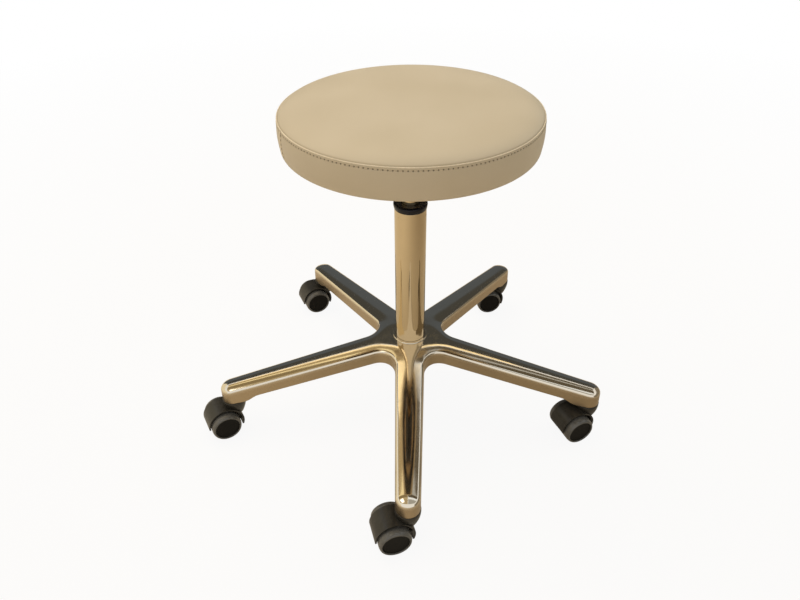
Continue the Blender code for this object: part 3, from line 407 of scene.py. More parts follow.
class Sheet:
    """Writes nodes into a material or a group, with short calls for the usual steps."""

    def __init__(self, tree: bpy.types.NodeTree) -> None:
        """Takes the node tree to write into."""
        self.tree = tree

    def feed(self, node: bpy.types.Node, inputs: dict) -> bpy.types.Node:
        """Gives a node its inputs, by socket name or number: constants, or values that vary over the surface."""
        for key, value in inputs.items():
            socket = node.inputs[key]
            if isinstance(value, Value):
                self.tree.links.new(value.socket, socket)
            else:
                socket.default_value = (*value, 1.0) if socket.type == "RGBA" else value
        return node

    def node(self, kind: str, inputs: dict | None = None, **settings) -> bpy.types.Node:
        """Adds a node.

        Args:
            kind: The node's type name, after "ShaderNode" where it starts with that.
            inputs: Its inputs, as for feed.
            settings: Properties of the node itself.

        Returns:
            The node.
        """
        made = self.tree.nodes.new(kind if kind.startswith("NodeGroup") else "ShaderNode" + kind)
        for key, value in settings.items():
            setattr(made, key, value)
        return self.feed(made, inputs or {})

    def value(self, kind: str, inputs: dict | None = None, output: int | str = 0, **settings) -> Value:
        """Adds a node, and gives one of its outputs."""
        return Value(self, self.node(kind, inputs, **settings).outputs[output])

    def math(self, operation: str, *values: Value | float) -> Value:
        """One step of arithmetic."""
        return self.value("Math", dict(enumerate(values)), operation=operation)

    def length(self, first: Value, second: Value) -> Value:
        """The long side of a right triangle."""
        return self.math("POWER", first * first + second * second, 0.5)

    def point(self) -> Value:
        """The surface point in the object's own frame, in metres."""
        return self.value("TexCoord", output="Object")

    def axes(self, point: Value) -> list[Value]:
        """A point's three coordinates."""
        return [Value(self, socket) for socket in self.node("SeparateXYZ", {0: point}).outputs]

    def noise(self, vector: Value, scale: Value | float, detail: float = 2.0, roughness: float = 0.5) -> Value:
        """Noise from 0 to 1 at so many cells to the metre."""
        return self.value("TexNoise", {"Vector": vector, "Scale": scale, "Detail": detail, "Roughness": roughness})

    def ramp(self, value: Value, low: float, high: float, to_low: float = 0.0, to_high: float = 1.0) -> Value:
        """Maps a value from one range to another and holds it inside the second."""
        return self.value("MapRange", {
            "Value": value, "From Min": low, "From Max": high, "To Min": to_low, "To Max": to_high,
        })

    def blend(self, share: Value, first: Value | Colour, second: Value | Colour) -> Value:
        """Mixes two colours by a share."""
        return self.value("Mix", {0: share, 6: first, 7: second}, 2, data_type="RGBA")

    def bump(self, height: Value, distance: float, strength: float = 1.0) -> Value:
        """A normal that is tilted by a height from 0 to 1 over a distance in metres."""
        return self.value("Bump", {"Height": height, "Distance": distance, "Strength": strength})

    def effect(self, effect: Effect, point: Value, **numbers: float) -> list[Value]:
        """Places a shared effect with its own numbers, and gives its outputs in order."""
        made = self.node("Group", {"Point": point, **numbers}, node_tree=effect.tree())
        return [Value(self, socket) for socket in made.outputs]


class Effect(Enum):
    """The shared surface effects, each one node group."""

    GRAIN = "pebbled_grain"
    MARKS = "handling_marks"
    DUST = "settled_dust"
    MOULDED = "moulded_texture"

    def tree(self) -> bpy.types.NodeTree:
        """The effect's group, made the first time that it is asked for."""
        found = bpy.data.node_groups.get(self.value)
        if found:
            return found
        inputs, outputs, maker = EFFECTS[self]
        tree = bpy.data.node_groups.new(self.value, "ShaderNodeTree")
        tree.interface.new_socket("Point", in_out="INPUT", socket_type="NodeSocketVector")
        for way, names in (("INPUT", inputs), ("OUTPUT", outputs)):
            for name in names:
                tree.interface.new_socket(name, in_out=way, socket_type="NodeSocketFloat")
        sheet = Sheet(tree)
        start = sheet.node("NodeGroupInput").outputs
        made = maker(sheet, *(Value(sheet, start[name]) for name in ("Point", *inputs)))
        sheet.feed(sheet.node("NodeGroupOutput"), dict(zip(outputs, made)))
        return tree


def pebbled_grain(sheet: Sheet, point: Value, scale: Value) -> tuple[Value, ...]:
    """Leather-like pebbles: cells of two sizes, pressed in along their borders, and slow changes of tone."""
    warp = sheet.value("TexNoise", {"Vector": point, "Scale": scale, "Detail": 1.0}, "Color")
    drift = sheet.value("VectorMath", {0: warp, "Scale": 0.0006}, operation="SCALE")
    loose = sheet.value("VectorMath", {0: point, 1: drift}, operation="ADD")
    cells = sheet.value("TexVoronoi", {"Vector": loose, "Scale": scale}, "Distance", feature="DISTANCE_TO_EDGE")
    fine = sheet.value("TexVoronoi", {"Vector": loose, "Scale": scale * 2.3}, "Distance", feature="SMOOTH_F1")
    return sheet.ramp(cells, 0.0, 0.28) * 0.7 + fine * 0.3, sheet.noise(point, 9.0, 3.0)


def handling_marks(sheet: Sheet, point: Value, scale: Value) -> tuple[Value, ...]:
    """Marks of use on metal: cloudy wiping marks, hair scratches in two directions and a slow polish wave."""
    lines = []
    for turn in ((0.4, 0.2, 0.9), (-0.7, 0.5, -0.3)):
        drawn = sheet.value("Mapping", {"Vector": point, "Rotation": turn, "Scale": (1.0, 26.0, 26.0)})
        lines.append(sheet.ramp(sheet.noise(drawn, 38.0, 2.0, 0.6), 0.66, 0.74))
    haze = sheet.ramp(sheet.noise(point, scale, 4.0, 0.62), 0.38, 0.72)
    return haze, sheet.math("MAXIMUM", *lines), sheet.noise(point, 34.0, 1.0, 0.4)


def settled_dust(sheet: Sheet, point: Value, scale: Value, amount: Value) -> tuple[Value, ...]:
    """Dust: specks and a film that are thicker on faces that look up."""
    up = sheet.axes(sheet.value("NewGeometry", output="Normal"))[2]
    film = sheet.ramp(sheet.noise(point, scale, 5.0, 0.7), 0.45, 0.85) * 0.6
    specks = sheet.ramp(sheet.noise(point, 900.0, 1.0), 0.70, 0.76)
    return sheet.math("MAXIMUM", film, specks) * sheet.ramp(up, 0.1, 1.0, 0.15, 1.0) * amount,


def moulded_texture(sheet: Sheet, point: Value, scale: Value) -> tuple[Value, ...]:
    """The skin of a moulding: an even fine sparkle and a slight flow of tone."""
    return sheet.noise(point, scale, 3.0, 0.65), sheet.noise(point, 55.0, 3.0, 0.55)


EFFECTS = {
    Effect.GRAIN: (("Scale",), ("Height", "Tone"), pebbled_grain),
    Effect.MARKS: (("Scale",), ("Haze", "Scratch", "Wave"), handling_marks),
    Effect.DUST: (("Scale", "Amount"), ("Mask",), settled_dust),
    Effect.MOULDED: (("Scale",), ("Height", "Tone"), moulded_texture),
}


# Finishes


@dataclass(frozen=True)
class Finish:
    """A material's name and what its kind of finish paints."""

    name: str

    def paint(self, sheet: Sheet, point: Value) -> dict:
        """The shader's inputs, from the surface point."""
        raise NotImplementedError

    def material(self) -> Material:
        """Makes the material."""
        material = bpy.data.materials.new(self.name)
        material.use_nodes = True
        sheet = Sheet(material.node_tree)
        sheet.feed(material.node_tree.nodes["Principled BSDF"], self.paint(sheet, sheet.point()))
        return material


@dataclass(frozen=True)
class LeatherFinish(Finish):
    """Synthetic leather with a pebbled grain, needle holes darkened with painted shade, and a fold along the seam
    darkened with soil and painted shade.
    """

    colour: Colour
    worn: Colour
    soil_and_shade: Colour
    stitches: int
    stitch_height: float
    seam_height: float
    radius: float

    def paint(self, sheet: Sheet, point: Value) -> dict:
        """Worn tones, a darker colour where the grain is low, soil and painted shade in the fold, and painted shade in
        holes one stitch apart round the band.
        """
        height, tone = sheet.effect(Effect.GRAIN, point, Scale=1500.0)
        x, y, z = sheet.axes(point)
        reach = sheet.length(x, y)
        phase = sheet.math("FRACT", sheet.math("ARCTAN2", y, x) * (self.stitches / TURN))
        aside = (0.5 - abs(phase - 0.5)) * (TURN * self.radius / self.stitches)
        # painted shade: a near black spot at each needle hole, one stitch apart round the band
        hole = sheet.ramp(sheet.length(aside, z - self.stitch_height), 0.0014, 0.0005)
        hole = hole * sheet.math("GREATER_THAN", reach, self.radius - 0.004)
        # soil and painted shade: a dark band along the crease just above the seam
        fold_shade = sheet.ramp(abs(z - (self.seam_height + 0.0008)), 0.0016, 0.0003)
        fold_shade = fold_shade * sheet.math("GREATER_THAN", reach, self.radius - 0.005)
        base = sheet.blend(sheet.ramp(tone, 0.35, 0.70), self.colour, self.worn)
        # darker colour where the grain is low; the colour it is drawn towards is soil and painted shade
        base = sheet.blend(sheet.ramp(height, 0.10, 0.45, 0.09, 0.0), base, self.soil_and_shade)
        base = sheet.blend(fold_shade * 0.55, base, self.soil_and_shade)
        base = sheet.blend(hole * 0.85, base, scaled(self.soil_and_shade, 0.25))
        return {
            "Base Color": base, "Roughness": sheet.ramp(tone, 0.3, 0.7, 0.40, 0.50) + height * 0.06,
            "Normal": sheet.bump(height, 0.00010, 0.55), "Specular IOR Level": 0.42, "Sheen Weight": 0.06,
        }


@dataclass(frozen=True)
class MetalFinish(Finish):
    """Plated or polished metal with marks of use, a rougher flank in a darker colour that paints a reflection, and a
    raw cast skin where the shell says so.
    """

    colour: Colour
    roughness: float
    haze: float
    wave: float
    flank: float = 0.0
    # the flank's colour is a painted reflection of a brown floor
    flank_reflection_colour: Colour = WHITE
    raw: float = 0.0
    raw_colour: Colour = WHITE
    dust: float = 0.0

    def paint(self, sheet: Sheet, point: Value) -> dict:
        """A mirror that haze, scratches, dust, the flank and the raw skin each make rougher; the flank's darker colour
        is a painted reflection.
        """
        haze, scratch, height = sheet.effect(Effect.MARKS, point, Scale=26.0)
        rough = haze * self.haze + self.roughness + scratch * 0.05
        base = sheet.blend(haze * 0.25, self.colour, scaled(self.colour, 0.86))
        if self.flank:
            side = sheet.value("Attribute", output="Fac", attribute_name="flank")
            rough = rough + side * self.flank
            # painted reflection: the flank drawn towards a darker colour, as if it mirrored a brown floor
            base = sheet.blend(side, base, self.flank_reflection_colour)
        if self.dust:
            rough = rough + sheet.effect(Effect.DUST, point, Scale=40.0, Amount=self.dust)[0] * 0.35
        if self.raw:
            cast = sheet.value("Attribute", output="Fac", attribute_name="raw")
            rough = rough + cast * self.raw
            base = sheet.blend(cast, base, self.raw_colour)
            height = height + sheet.effect(Effect.MOULDED, point, Scale=420.0)[0] * 4.0 * cast
        return {"Base Color": base, "Roughness": rough, "Normal": sheet.bump(height, self.wave), "Metallic": 1.0}


@dataclass(frozen=True)
class PlasticFinish(Finish):
    """A moulded or painted skin: a fine texture, a flow of tone and some dust."""

    colour: Colour
    lit: Colour
    roughness: float
    texture: float
    depth: float
    dust: float
    specular: float = 0.5
    dust_colour: Colour = (0.30, 0.28, 0.24)

    def paint(self, sheet: Sheet, point: Value) -> dict:
        """Tone and roughness that flow together, under the dust."""
        height, tone = sheet.effect(Effect.MOULDED, point, Scale=self.texture)
        mask = sheet.effect(Effect.DUST, point, Scale=70.0, Amount=self.dust)[0]
        base = sheet.blend(sheet.ramp(tone, 0.35, 0.68), self.colour, self.lit)
        rough = sheet.ramp(tone, 0.3, 0.7, self.roughness - 0.05, self.roughness + 0.06)
        return {
            "Base Color": sheet.blend(mask, base, self.dust_colour), "Roughness": rough + mask * 0.4,
            "Normal": sheet.bump(height, self.depth, 0.6), "Specular IOR Level": self.specular,
        }


@dataclass(frozen=True)
class PlywoodFinish(Finish):
    """Sanded plywood with a drawn-out grain on its face and plies at its edge."""

    light: Colour
    dark: Colour

    def paint(self, sheet: Sheet, point: Value) -> dict:
        """Noise drawn out along X."""
        drawn = sheet.value("Mapping", {"Vector": point, "Scale": (1.0, 14.0, 40.0)})
        grain = sheet.noise(drawn, 22.0, 6.0, 0.7)
        return {
            "Base Color": sheet.blend(sheet.ramp(grain, 0.35, 0.68), self.light, self.dark),
            "Roughness": sheet.ramp(grain, 0.3, 0.7, 0.62, 0.78), "Normal": sheet.bump(grain, 0.0002, 0.5),
        }


@dataclass(frozen=True)
class ClothFinish(Finish):
    """A thin woven lining of so many threads to the metre."""

    colour: Colour
    lit: Colour
    threads: float

    def paint(self, sheet: Sheet, point: Value) -> dict:
        """Two crossed waves of threads, and slack between them."""
        weave = sheet.math("MAXIMUM", *(
            sheet.math("SINE", axis * (TURN * self.threads)) for axis in sheet.axes(point)[:2]
        ))
        slack = sheet.noise(point, 60.0, 3.0)
        return {
            "Base Color": sheet.blend(sheet.ramp(weave, -0.6, 1.0), self.colour, self.lit),
            "Roughness": sheet.ramp(slack, 0.3, 0.7, 0.82, 0.95),
            "Normal": sheet.bump(weave + slack * 3.0, 0.00015, 0.5),
        }


@dataclass(frozen=True)
class ThreadFinish(Finish):
    """Sewing thread: a fine twist along the row."""

    colour: Colour
    dark: Colour

    def paint(self, sheet: Sheet, point: Value) -> dict:
        """Fine noise that stands for the twist."""
        twist = sheet.noise(point, 2600.0, 1.0)
        return {
            "Base Color": sheet.blend(sheet.ramp(twist, 0.35, 0.65), self.colour, self.dark),
            "Roughness": sheet.ramp(twist, 0.3, 0.7, 0.55, 0.75), "Normal": sheet.bump(twist, 0.0001, 0.5),
        }


def scaled(colour: Colour, factor: float) -> Colour:
    """A colour made lighter or darker."""
    return tuple(min(1.0, channel * factor) for channel in colour)


def make_finishes(seat: SewnSeat) -> Finishes:
    """Makes every finish once.

    Args:
        seat: The seat, whose sizes place the needle holes.

    Returns:
        Materials by the name of their use.
    """
    made = {
        # the leather's third colour is soil and painted shade, for the grain's low cells, the seam's fold and the
        # needle holes
        "leather": LeatherFinish(
            "cream_leather", (0.560, 0.455, 0.300), (0.585, 0.480, 0.325), (0.32, 0.24, 0.14),
            seat.stitches, seat.row, seat.seam, seat.radius,
        ),
        # painted highlight: the seam and the band's joint wear a paler copy of the leather, for the bright line along
        # their raised ridges
        "seam": PlasticFinish("seam_highlight_leather", (0.74, 0.62, 0.43), (0.78, 0.66, 0.47), 0.42, 900.0, 0.0001, 0.0),
        "thread": ThreadFinish("sewing_thread", (0.62, 0.51, 0.34), (0.50, 0.40, 0.25)),
        "dark_thread": ThreadFinish("joint_thread", (0.26, 0.19, 0.10), (0.17, 0.12, 0.06)),
        # painted reflection: chrome's base colour is tinted gold, as if it mirrored a warm room
        "chrome": MetalFinish("chrome", (0.62, 0.49, 0.31), 0.05, 0.05, 0.00002),
        # polished aluminium: a warm tint that partly paints the reflection of a warm room; the flank's darker brown is
        # a painted reflection of a brown floor, and the flank is also truly rougher
        "aluminium": MetalFinish(
            "polished_aluminium", (0.76, 0.69, 0.57), 0.08, 0.06, 0.00006, flank=0.20,
            flank_reflection_colour=(0.43, 0.33, 0.21), raw=0.34, raw_colour=(0.40, 0.385, 0.36), dust=0.12,
        ),
        "zinc": MetalFinish("zinc_steel", (0.62, 0.63, 0.65), 0.28, 0.12, 0.00003),
        "collar": PlasticFinish(
            "gloss_black_plastic", (0.006, 0.006, 0.009), (0.009, 0.009, 0.013), 0.16, 300.0, 0.00003, 0.06, 0.28,
        ),
        "hood": PlasticFinish(
            "hood_black_plastic", (0.015, 0.0126, 0.0087), (0.021, 0.018, 0.013), 0.34, 1500.0, 0.00005, 0.12, 0.46,
        ),
        "disc": PlasticFinish(
            "disc_black_plastic", (0.005, 0.0044, 0.0034), (0.008, 0.007, 0.0055), 0.50, 1500.0, 0.00006, 0.08, 0.11,
        ),
        "tyre": PlasticFinish(
            "grey_tread", (0.078, 0.072, 0.061), (0.100, 0.093, 0.080), 0.24, 700.0, 0.00004, 0.12, 0.55,
        ),
        "coated_steel": PlasticFinish(
            "black_steel", (0.022, 0.022, 0.022), (0.030, 0.030, 0.030), 0.42, 900.0, 0.00008, 0.25,
        ),
        "rubber": PlasticFinish(
            "black_rubber", (0.018, 0.018, 0.018), (0.026, 0.026, 0.026), 0.80, 600.0, 0.0001, 0.2,
        ),
        "plywood": PlywoodFinish("plywood", (0.52, 0.38, 0.22), (0.38, 0.25, 0.13)),
        "lining": ClothFinish("black_lining", (0.012, 0.012, 0.012), (0.030, 0.030, 0.030), 900.0),
    }
    return {use: finish.material() for use, finish in made.items()}


# Sub-assemblies


@dataclass
class SewnSeat:
    """The upholstered seat: cover, seam, stitching, and the hem and lining under it."""

    radius: float = 0.186
    bottom: float = 0.4862
    seam: float = 0.5322
    crown: float = 0.0156
    soft_crown: float = 0.50  # share of the crown that falls off softly
    soft_power: float = 4.0
    edge_power: float = 18.0
    bulge: float = 0.0014
    tuck: float = 0.0008
    lower_round: float = 0.0040
    cover: float = 0.0012
    hem_radius: float = 0.154
    pocket_radius: float = 0.1763
    pocket_top: float = 0.5000
    seam_dip: float = 0.0010  # of the top beside the seam
    seam_dip_width: float = 0.0018
    seam_groove: float = 0.0008  # of the band below it
    seam_groove_width: float = 0.0011
    ridge_radius: float = 0.00075
    ridge_inset: float = 0.00055
    stitch_drop: float = 0.0039
    stitches: int = 195
    hole_depth: float = 0.0011
    hole_size: float = 0.00090
    row_depth: float = 0.00012
    row_width: float = 0.0013
    thread_radius: float = 0.00040
    stitch_share: float = 0.80  # of the way from one hole to the next
    stitch_lean: float = math.radians(9.0)
    pucker: float = 0.00022
    pucker_place: tuple[float, float] = (0.0007, 0.0017)  # beside its hole and below it
    pucker_size: tuple[float, float] = (0.0012, 0.0009)
    joint_depth: float = 0.0009
    joint_width: float = 0.0019
    joint_angle: float = math.radians(203.5)
    joint_stitch: float = 0.0040
    joint_pitch: float = 0.0060
    joint_thread_radius: float = 0.00045
    columns_per_stitch: int = 6
    pleats: int = 78
    pleat_depth: float = 0.0008
    staples: int = 62
    staple_radius: float = 0.1605
    staple_length: float = 0.0095
    staple_wire: float = 0.00055
    lining_inside: float = 0.104
    lining_outside: float = 0.1537
    top_ease: float = 0.0040
    soft_reach: float = 0.72
    rim_hold: float = 0.55
    voxel: float = 0.005
    pressure: float = 4.0
    frames: int = 20
    reach_limit: float = 0.012
    rise_limit: float = 0.0009
    cells: tuple[int, int] = (96, 48)  # of the grid of pushes, round the seat and along the section

    @property
    def row(self) -> float:
        """Height of the row of stitches."""
        return self.seam - self.stitch_drop

    @property
    def band_low(self) -> float:
        """Height of the band's lower end, where the cover turns under."""
        return self.bottom + self.lower_round

    def top_height(self, radius: Array) -> Array:
        """Height of the crowned top: a soft crown and a firm one that only falls off near the edge, added up."""
        share = radius / self.radius
        soft = self.soft_crown * (1 - share ** self.soft_power)
        firm = (1 - self.soft_crown) * (1 - share ** self.edge_power)
        return self.seam + self.crown * (soft + firm)

    def down_share(self, height: Array) -> Array:
        """Share of the way down the band."""
        return (self.seam - height) / (self.seam - self.band_low)

    def band_radius(self, height: Array) -> Array:
        """Radius of the band: a half sine swell, less a tuck that grows with the cube of the way down."""
        share = np.clip(self.down_share(height), 0.0, 1.0)
        return self.radius + self.bulge * np.sin(np.pi * share) - self.tuck * share ** 3

    def sewn(self, angle: Array, height: Array) -> Array:
        """How far sewing pulls the band in: a trough along the row, a pit at each needle hole, puckers and a joint.

        The trough, the pits and the joint's groove are bell curves of the distance to the row, to the hole and to
        the joint. The puckers are bells that swell below each hole, a little to one side.
        """
        away = height - self.row
        phase = angle * self.stitches / TURN
        across = (phase - np.round(phase)) * TURN * self.radius / self.stitches
        (beside, below), (wide, tall) = self.pucker_place, self.pucker_size
        swell = bell(across - beside, wide) * bell(away + below, tall)
        aside = wrapped(angle - self.joint_angle) * self.radius
        joint = bell(aside, self.joint_width) * np.clip((self.seam - height) / 0.002, 0.0, 1.0)
        pit = self.hole_depth * bell(np.hypot(across, away), self.hole_size)
        pull = self.row_depth * bell(away, self.row_width) + pit
        return pull - self.pucker * swell + self.joint_depth * joint

    def pleated(self, angle: Array, radius: Array) -> Array:
        """How far the hem's pleats rise from its underside: bells at uneven angles, deeper towards the inner edge."""
        start = self.radius - 0.006
        share = np.clip((start - radius) / (start - self.hem_radius), 0.0, 1.0)
        phase = self.pleats * (angle + 0.016 * np.sin(5 * angle + 1.0) + 0.010 * np.sin(13 * angle)) / TURN
        return self.pleat_depth * share ** 1.5 * bell(phase - np.round(phase), 0.16)

    def section(self) -> tuple[Array, Array]:
        """The cover's section: the crown, a groove at the seam, the band, the hem and the pocket for the board.

        Returns:
            Points (radius, height), and the way along the section: 0 in the middle of the top, 1 at the seam, 2 at
            the lower edge and 3 from there on.
        """
        way = np.concatenate((np.linspace(0.0, 0.78, 14), np.linspace(0.80, 0.995, 24)))
        reach = way * self.radius
        dip = self.seam_dip * bell(self.radius - reach, self.seam_dip_width)
        top = np.column_stack((reach, self.top_height(reach) - dip))
        height = np.concatenate((
            np.linspace(self.seam - 0.0003, self.seam - 0.0090, 25),
            np.linspace(self.seam - 0.0105, self.band_low, 12),
        ))
        groove = self.seam_groove * bell(self.seam - height, self.seam_groove_width)
        band = np.column_stack((self.band_radius(height) - groove, height))
        middle = self.radius - self.tuck - self.lower_round
        corner = (middle, self.band_low) + self.lower_round * unit(np.linspace(0.0, -np.pi / 2, 6)[1:])
        hem = np.linspace(middle, self.hem_radius, 11)[1:]
        floor = self.bottom + self.cover
        under = np.concatenate((corner, np.column_stack((hem, np.full_like(hem, self.bottom))), [
            (self.hem_radius, floor), (self.pocket_radius, floor), (self.pocket_radius, self.pocket_top),
            (0.0, self.pocket_top),
        ]))
        way = np.concatenate((way, 1 + self.down_share(height), np.full(len(under), 3.0)))
        return np.concatenate((top, band, under)), way

    def ease(self, way: Array) -> Array:
        """How much lower than its filled shape the top starts: a dome that ends where the firm foam begins."""
        share = np.clip(way / self.soft_reach, 0.0, 1.0)
        return self.top_ease * (1 - share ** 2) ** 1.4

    def blown_up(self) -> tuple[Array, Array]:
        """Lets a closed cover of the starting size swell under pressure, held at the seam, underneath and by firm foam.

        The foam's hold on the top grows from nothing to the seam's, in tenths.

        Returns:
            The cover's points before it swells, and how far each one moves.
        """
        section, way = self.section()
        keep = way < 2.5
        start = section[keep].copy()
        start[:, 1] -= self.ease(way[keep])
        item = new_object("cover_blank", lathe(np.concatenate((start, [(0.0, self.bottom)])), 128).mesh("cover_blank"))
        modify(item, "REMESH", mode="VOXEL", voxel_size=self.voxel)
        item = new_object("cover_blank", evaluated(item))
        before = coordinates(item.data)
        x, y, z = before.T
        reach, low = np.hypot(x, y), self.bottom + 0.008
        seamed = (np.abs(z - self.seam) < 0.6 * self.voxel) & (reach > self.radius - self.voxel)
        firm = np.clip((reach / self.radius - self.rim_hold) / (1 - self.rim_hold), 0.0, 1.0)
        firm[seamed | (z < low)] = 1.0
        firm[~seamed & (z < self.seam) & (z > low)] = 0.0
        held = item.vertex_groups.new(name="held")
        for level in range(1, 11):
            held.add(np.flatnonzero(np.ceil(10 * firm) == level).tolist(), level / 10, "REPLACE")
        cloth = modify(item, "CLOTH")
        cloth.settings.use_pressure = True
        cloth.settings.uniform_pressure_force = self.pressure
        cloth.settings.effector_weights.gravity = 0.0
        cloth.settings.vertex_group_mass = held.name
        cloth.point_cache.frame_end = self.frames
        for number in range(1, self.frames + 1):
            bpy.context.scene.frame_set(number)
        move = coordinates(evaluated(item)) - before
        bpy.context.scene.frame_set(1)
        length = np.linalg.norm(move, axis=1, keepdims=True)
        return before, move * np.minimum(1.0, self.reach_limit / np.maximum(length, 1e-9))

    def pushes(self) -> Array:
        """How far the filling pushes the cover: up on the top, outwards on the band.

        Each cell holds the mean push of the points near it, weighted by a bell that is wider round the seat than
        along the section. All are scaled so that the middle comes back up by what it was eased.

        Returns:
            The push on a grid of angles by steps of the way from 0 to 2.
        """
        before, move = self.blown_up()
        x, y, z = before.T
        reach = np.hypot(x, y)
        top = z > self.seam + 0.0005
        push = np.where(top, move[:, 2], (before[:, :2] * move[:, :2]).sum(1) / np.maximum(reach, 1e-6))
        way = np.where(top, reach / self.radius, 1 + self.down_share(z))
        used = (top | (reach > self.radius - 0.012)) & (way < 2)
        around, along = self.cells
        cell = (np.arctan2(y, x) % TURN / TURN * around).astype(int) % around * along
        cell = (cell + np.clip(way * along / 2, 0, along - 1).astype(int))[used]
        margin = 8
        kernel = np.fft.fft2(np.outer(
            bell(np.fft.fftfreq(around) * around, math.sqrt(18.0)),
            bell(np.fft.fftfreq(along + 2 * margin) * (along + 2 * margin), math.sqrt(2.0)),
        ))

        def spread(weights: Array | None) -> Array:
            """What falls into each cell, blurred, with room beside the section's ends."""
            layer = np.bincount(cell, weights, minlength=around * along).reshape(around, along)
            layer = np.pad(layer, ((0, 0), (margin, margin)))
            return np.fft.ifft2(np.fft.fft2(layer) * kernel).real[:, margin:-margin]

        grid = spread(push[used]) / np.maximum(spread(None), 1e-6)
        near = np.arange(1, 6)
        middle = grid[:, near].mean()
        LOG.info("seat cover: %d points swelled by %.1f mm in the middle", len(before), 1000 * middle)
        return grid * (self.ease((near + 0.5) * 2 / along).mean() / middle)

    def rise(self, angle: Array, way: Array) -> Array:
        """How far the filled cover stands out from its section, read from the pushes in straight lines between cells.

        Args:
            angle: Angles round the seat.
            way: Steps of the way along the section.

        Returns:
            The rise, shape (ways, angles), evened out round the middle of the top.
        """
        around, along = self.cells
        grid = self.pushes()
        at = angle / TURN * around - 0.5
        first = np.floor(at).astype(int)
        part = (at - first)[:, None]
        grid = grid[first % around] * (1 - part) + grid[(first + 1) % around] * part
        at = np.clip(way * along / 2 - 0.5, 0, along - 1.001)
        first = np.floor(at).astype(int)
        part = at - first
        swell = (grid[:, first] * (1 - part) + grid[:, first + 1] * part).T
        even = np.clip((0.20 - way) / 0.20, 0.0, 1.0)[:, None]
        swell = swell * (1 - even) + swell.mean(axis=1, keepdims=True) * even
        return np.clip(swell - self.ease(way)[:, None], -self.rise_limit, self.rise_limit)

    def cover_shell(self) -> Shell:
        """The filled and sewn cover as a grid of the way along the section by the angle."""
        section, way = self.section()
        angle = whole_turn(self.stitches * self.columns_per_stitch)
        rise = self.rise(angle, way)
        radius, height, way = section[:, :1], section[:, 1:], way[:, None]
        out = np.where((way > 1) & (way < 2), rise - self.sewn(angle, height), 0.0)
        up = np.where(way <= 1, rise, 0.0)
        pleats = np.where(height < self.bottom + 1e-6, self.pleated(angle, radius), 0.0)
        return Shell.round_z(radius + out, angle, height + up + pleats)

    def seam_ridge(self) -> Shell:
        """The raised seam: a small round section carried round the edge, waving slightly as sewn leather does."""
        around = whole_turn(780)
        across = whole_turn(10)[:, None]
        size = self.ridge_radius * (1.0 + 0.12 * np.cos(self.stitches * around) + 0.06 * np.sin(7 * around + 0.6))
        radius = self.radius - self.ridge_inset + size * np.cos(across)
        return Shell.round_z(radius, around, self.seam + size * np.sin(across), ring=True)

    def stitch_shell(self, centres: Array, along: Array, outward: Array, length: float, radius: float) -> Shell:
        """Stitches: a thin spindle for each centre, bowed so that both ends dip into the cover.

        Args:
            centres: Middle of each stitch, shape (n, 3).
            along: The way each runs, shape (n, 3).
            outward: The cover's normal there, shape (n, 3).
            length: From end to end.
            radius: Of the thread.

        Returns:
            One shell with all the stitches.
        """
        run = np.linspace(-1.0, 1.0, 7)[:, None]
        turn = whole_turn(6)
        thick = radius * np.sqrt(np.clip(1.0 - run ** 4, 0.0, 1.0))
        rise = radius * (0.55 - 1.1 * run ** 2) + thick * np.sin(turn)
        one = Shell.grid(run * length / 2, thick * np.cos(turn), rise)
        ways = np.stack((along, np.cross(outward, along), outward), axis=1)
        points = centres[:, None] + one.points @ ways
        offsets = np.arange(len(centres))[:, None, None] * len(one.points)
        return Shell(points.reshape(-1, 3), (one.faces + offsets).reshape(-1, 4))

    def top_stitching(self) -> Shell:
        """The row of stitches on the band, one thread length apart, just under the seam."""
        angle = (np.arange(self.stitches) + 0.5) * TURN / self.stitches
        reach = float(self.band_radius(np.array([self.row]))[0]) - 0.75 * self.row_depth
        lean, pitch = self.stitch_lean, TURN * reach / self.stitches
        outward = raised(unit(angle), np.zeros_like(angle))
        along = raised(unit(angle + np.pi / 2) * math.cos(lean), np.full_like(angle, math.sin(lean)))
        centres = outward * reach + (0.0, 0.0, self.row)
        return self.stitch_shell(centres, along, outward, self.stitch_share * pitch, self.thread_radius)

    def joint_stitching(self) -> Shell:
        """The upright row of stitches beside the band's joint."""
        height = np.arange(self.seam - 0.007, self.bottom + 0.006, -self.joint_pitch)
        angle = np.full_like(height, self.joint_angle + 0.0031 / self.radius)
        outward = raised(unit(angle), np.zeros_like(angle))
        centres = raised(unit(angle) * (self.band_radius(height) - 0.0001)[:, None], height)
        along = np.tile((0.0, 0.0, 1.0), (len(height), 1))
        return self.stitch_shell(centres, along, outward, self.joint_stitch, self.joint_thread_radius)

    def joint_ridge(self) -> Shell:
        """The band's upright joint: a flat half-round ridge carried down the band."""
        height = np.linspace(self.seam - 0.001, self.bottom + 0.0035, 30)[:, None]
        across = whole_turn(10)
        ends = np.sqrt(np.clip(1.0 - np.linspace(-1.0, 1.0, 30) ** 10, 0.0, 1.0))[:, None]
        radius = self.band_radius(height) - 0.0004 + 0.0013 * np.sin(across) * ends
        return Shell.round_z(radius, self.joint_angle + 0.0011 / self.radius * np.cos(across) * ends, height)

    def hem_staples(self) -> Shell:
        """The staples that hold the hem, each a little out of line with the ring."""
        angle = np.arange(self.staples) * TURN / self.staples
        lean = 0.16 * np.sin(11 * angle + 0.4) + 0.10 * np.sin(29 * angle)
        reach = self.staple_radius + 0.0012 * np.sin(17 * angle)
        centres = raised(unit(angle) * reach[:, None], np.full_like(angle, self.bottom))
        along = raised(unit(angle + lean + np.pi / 2), np.zeros_like(angle))
        outward = np.tile((0.0, 0.0, -1.0), (self.staples, 1))
        return self.stitch_shell(centres, along, outward, self.staple_length, self.staple_wire)

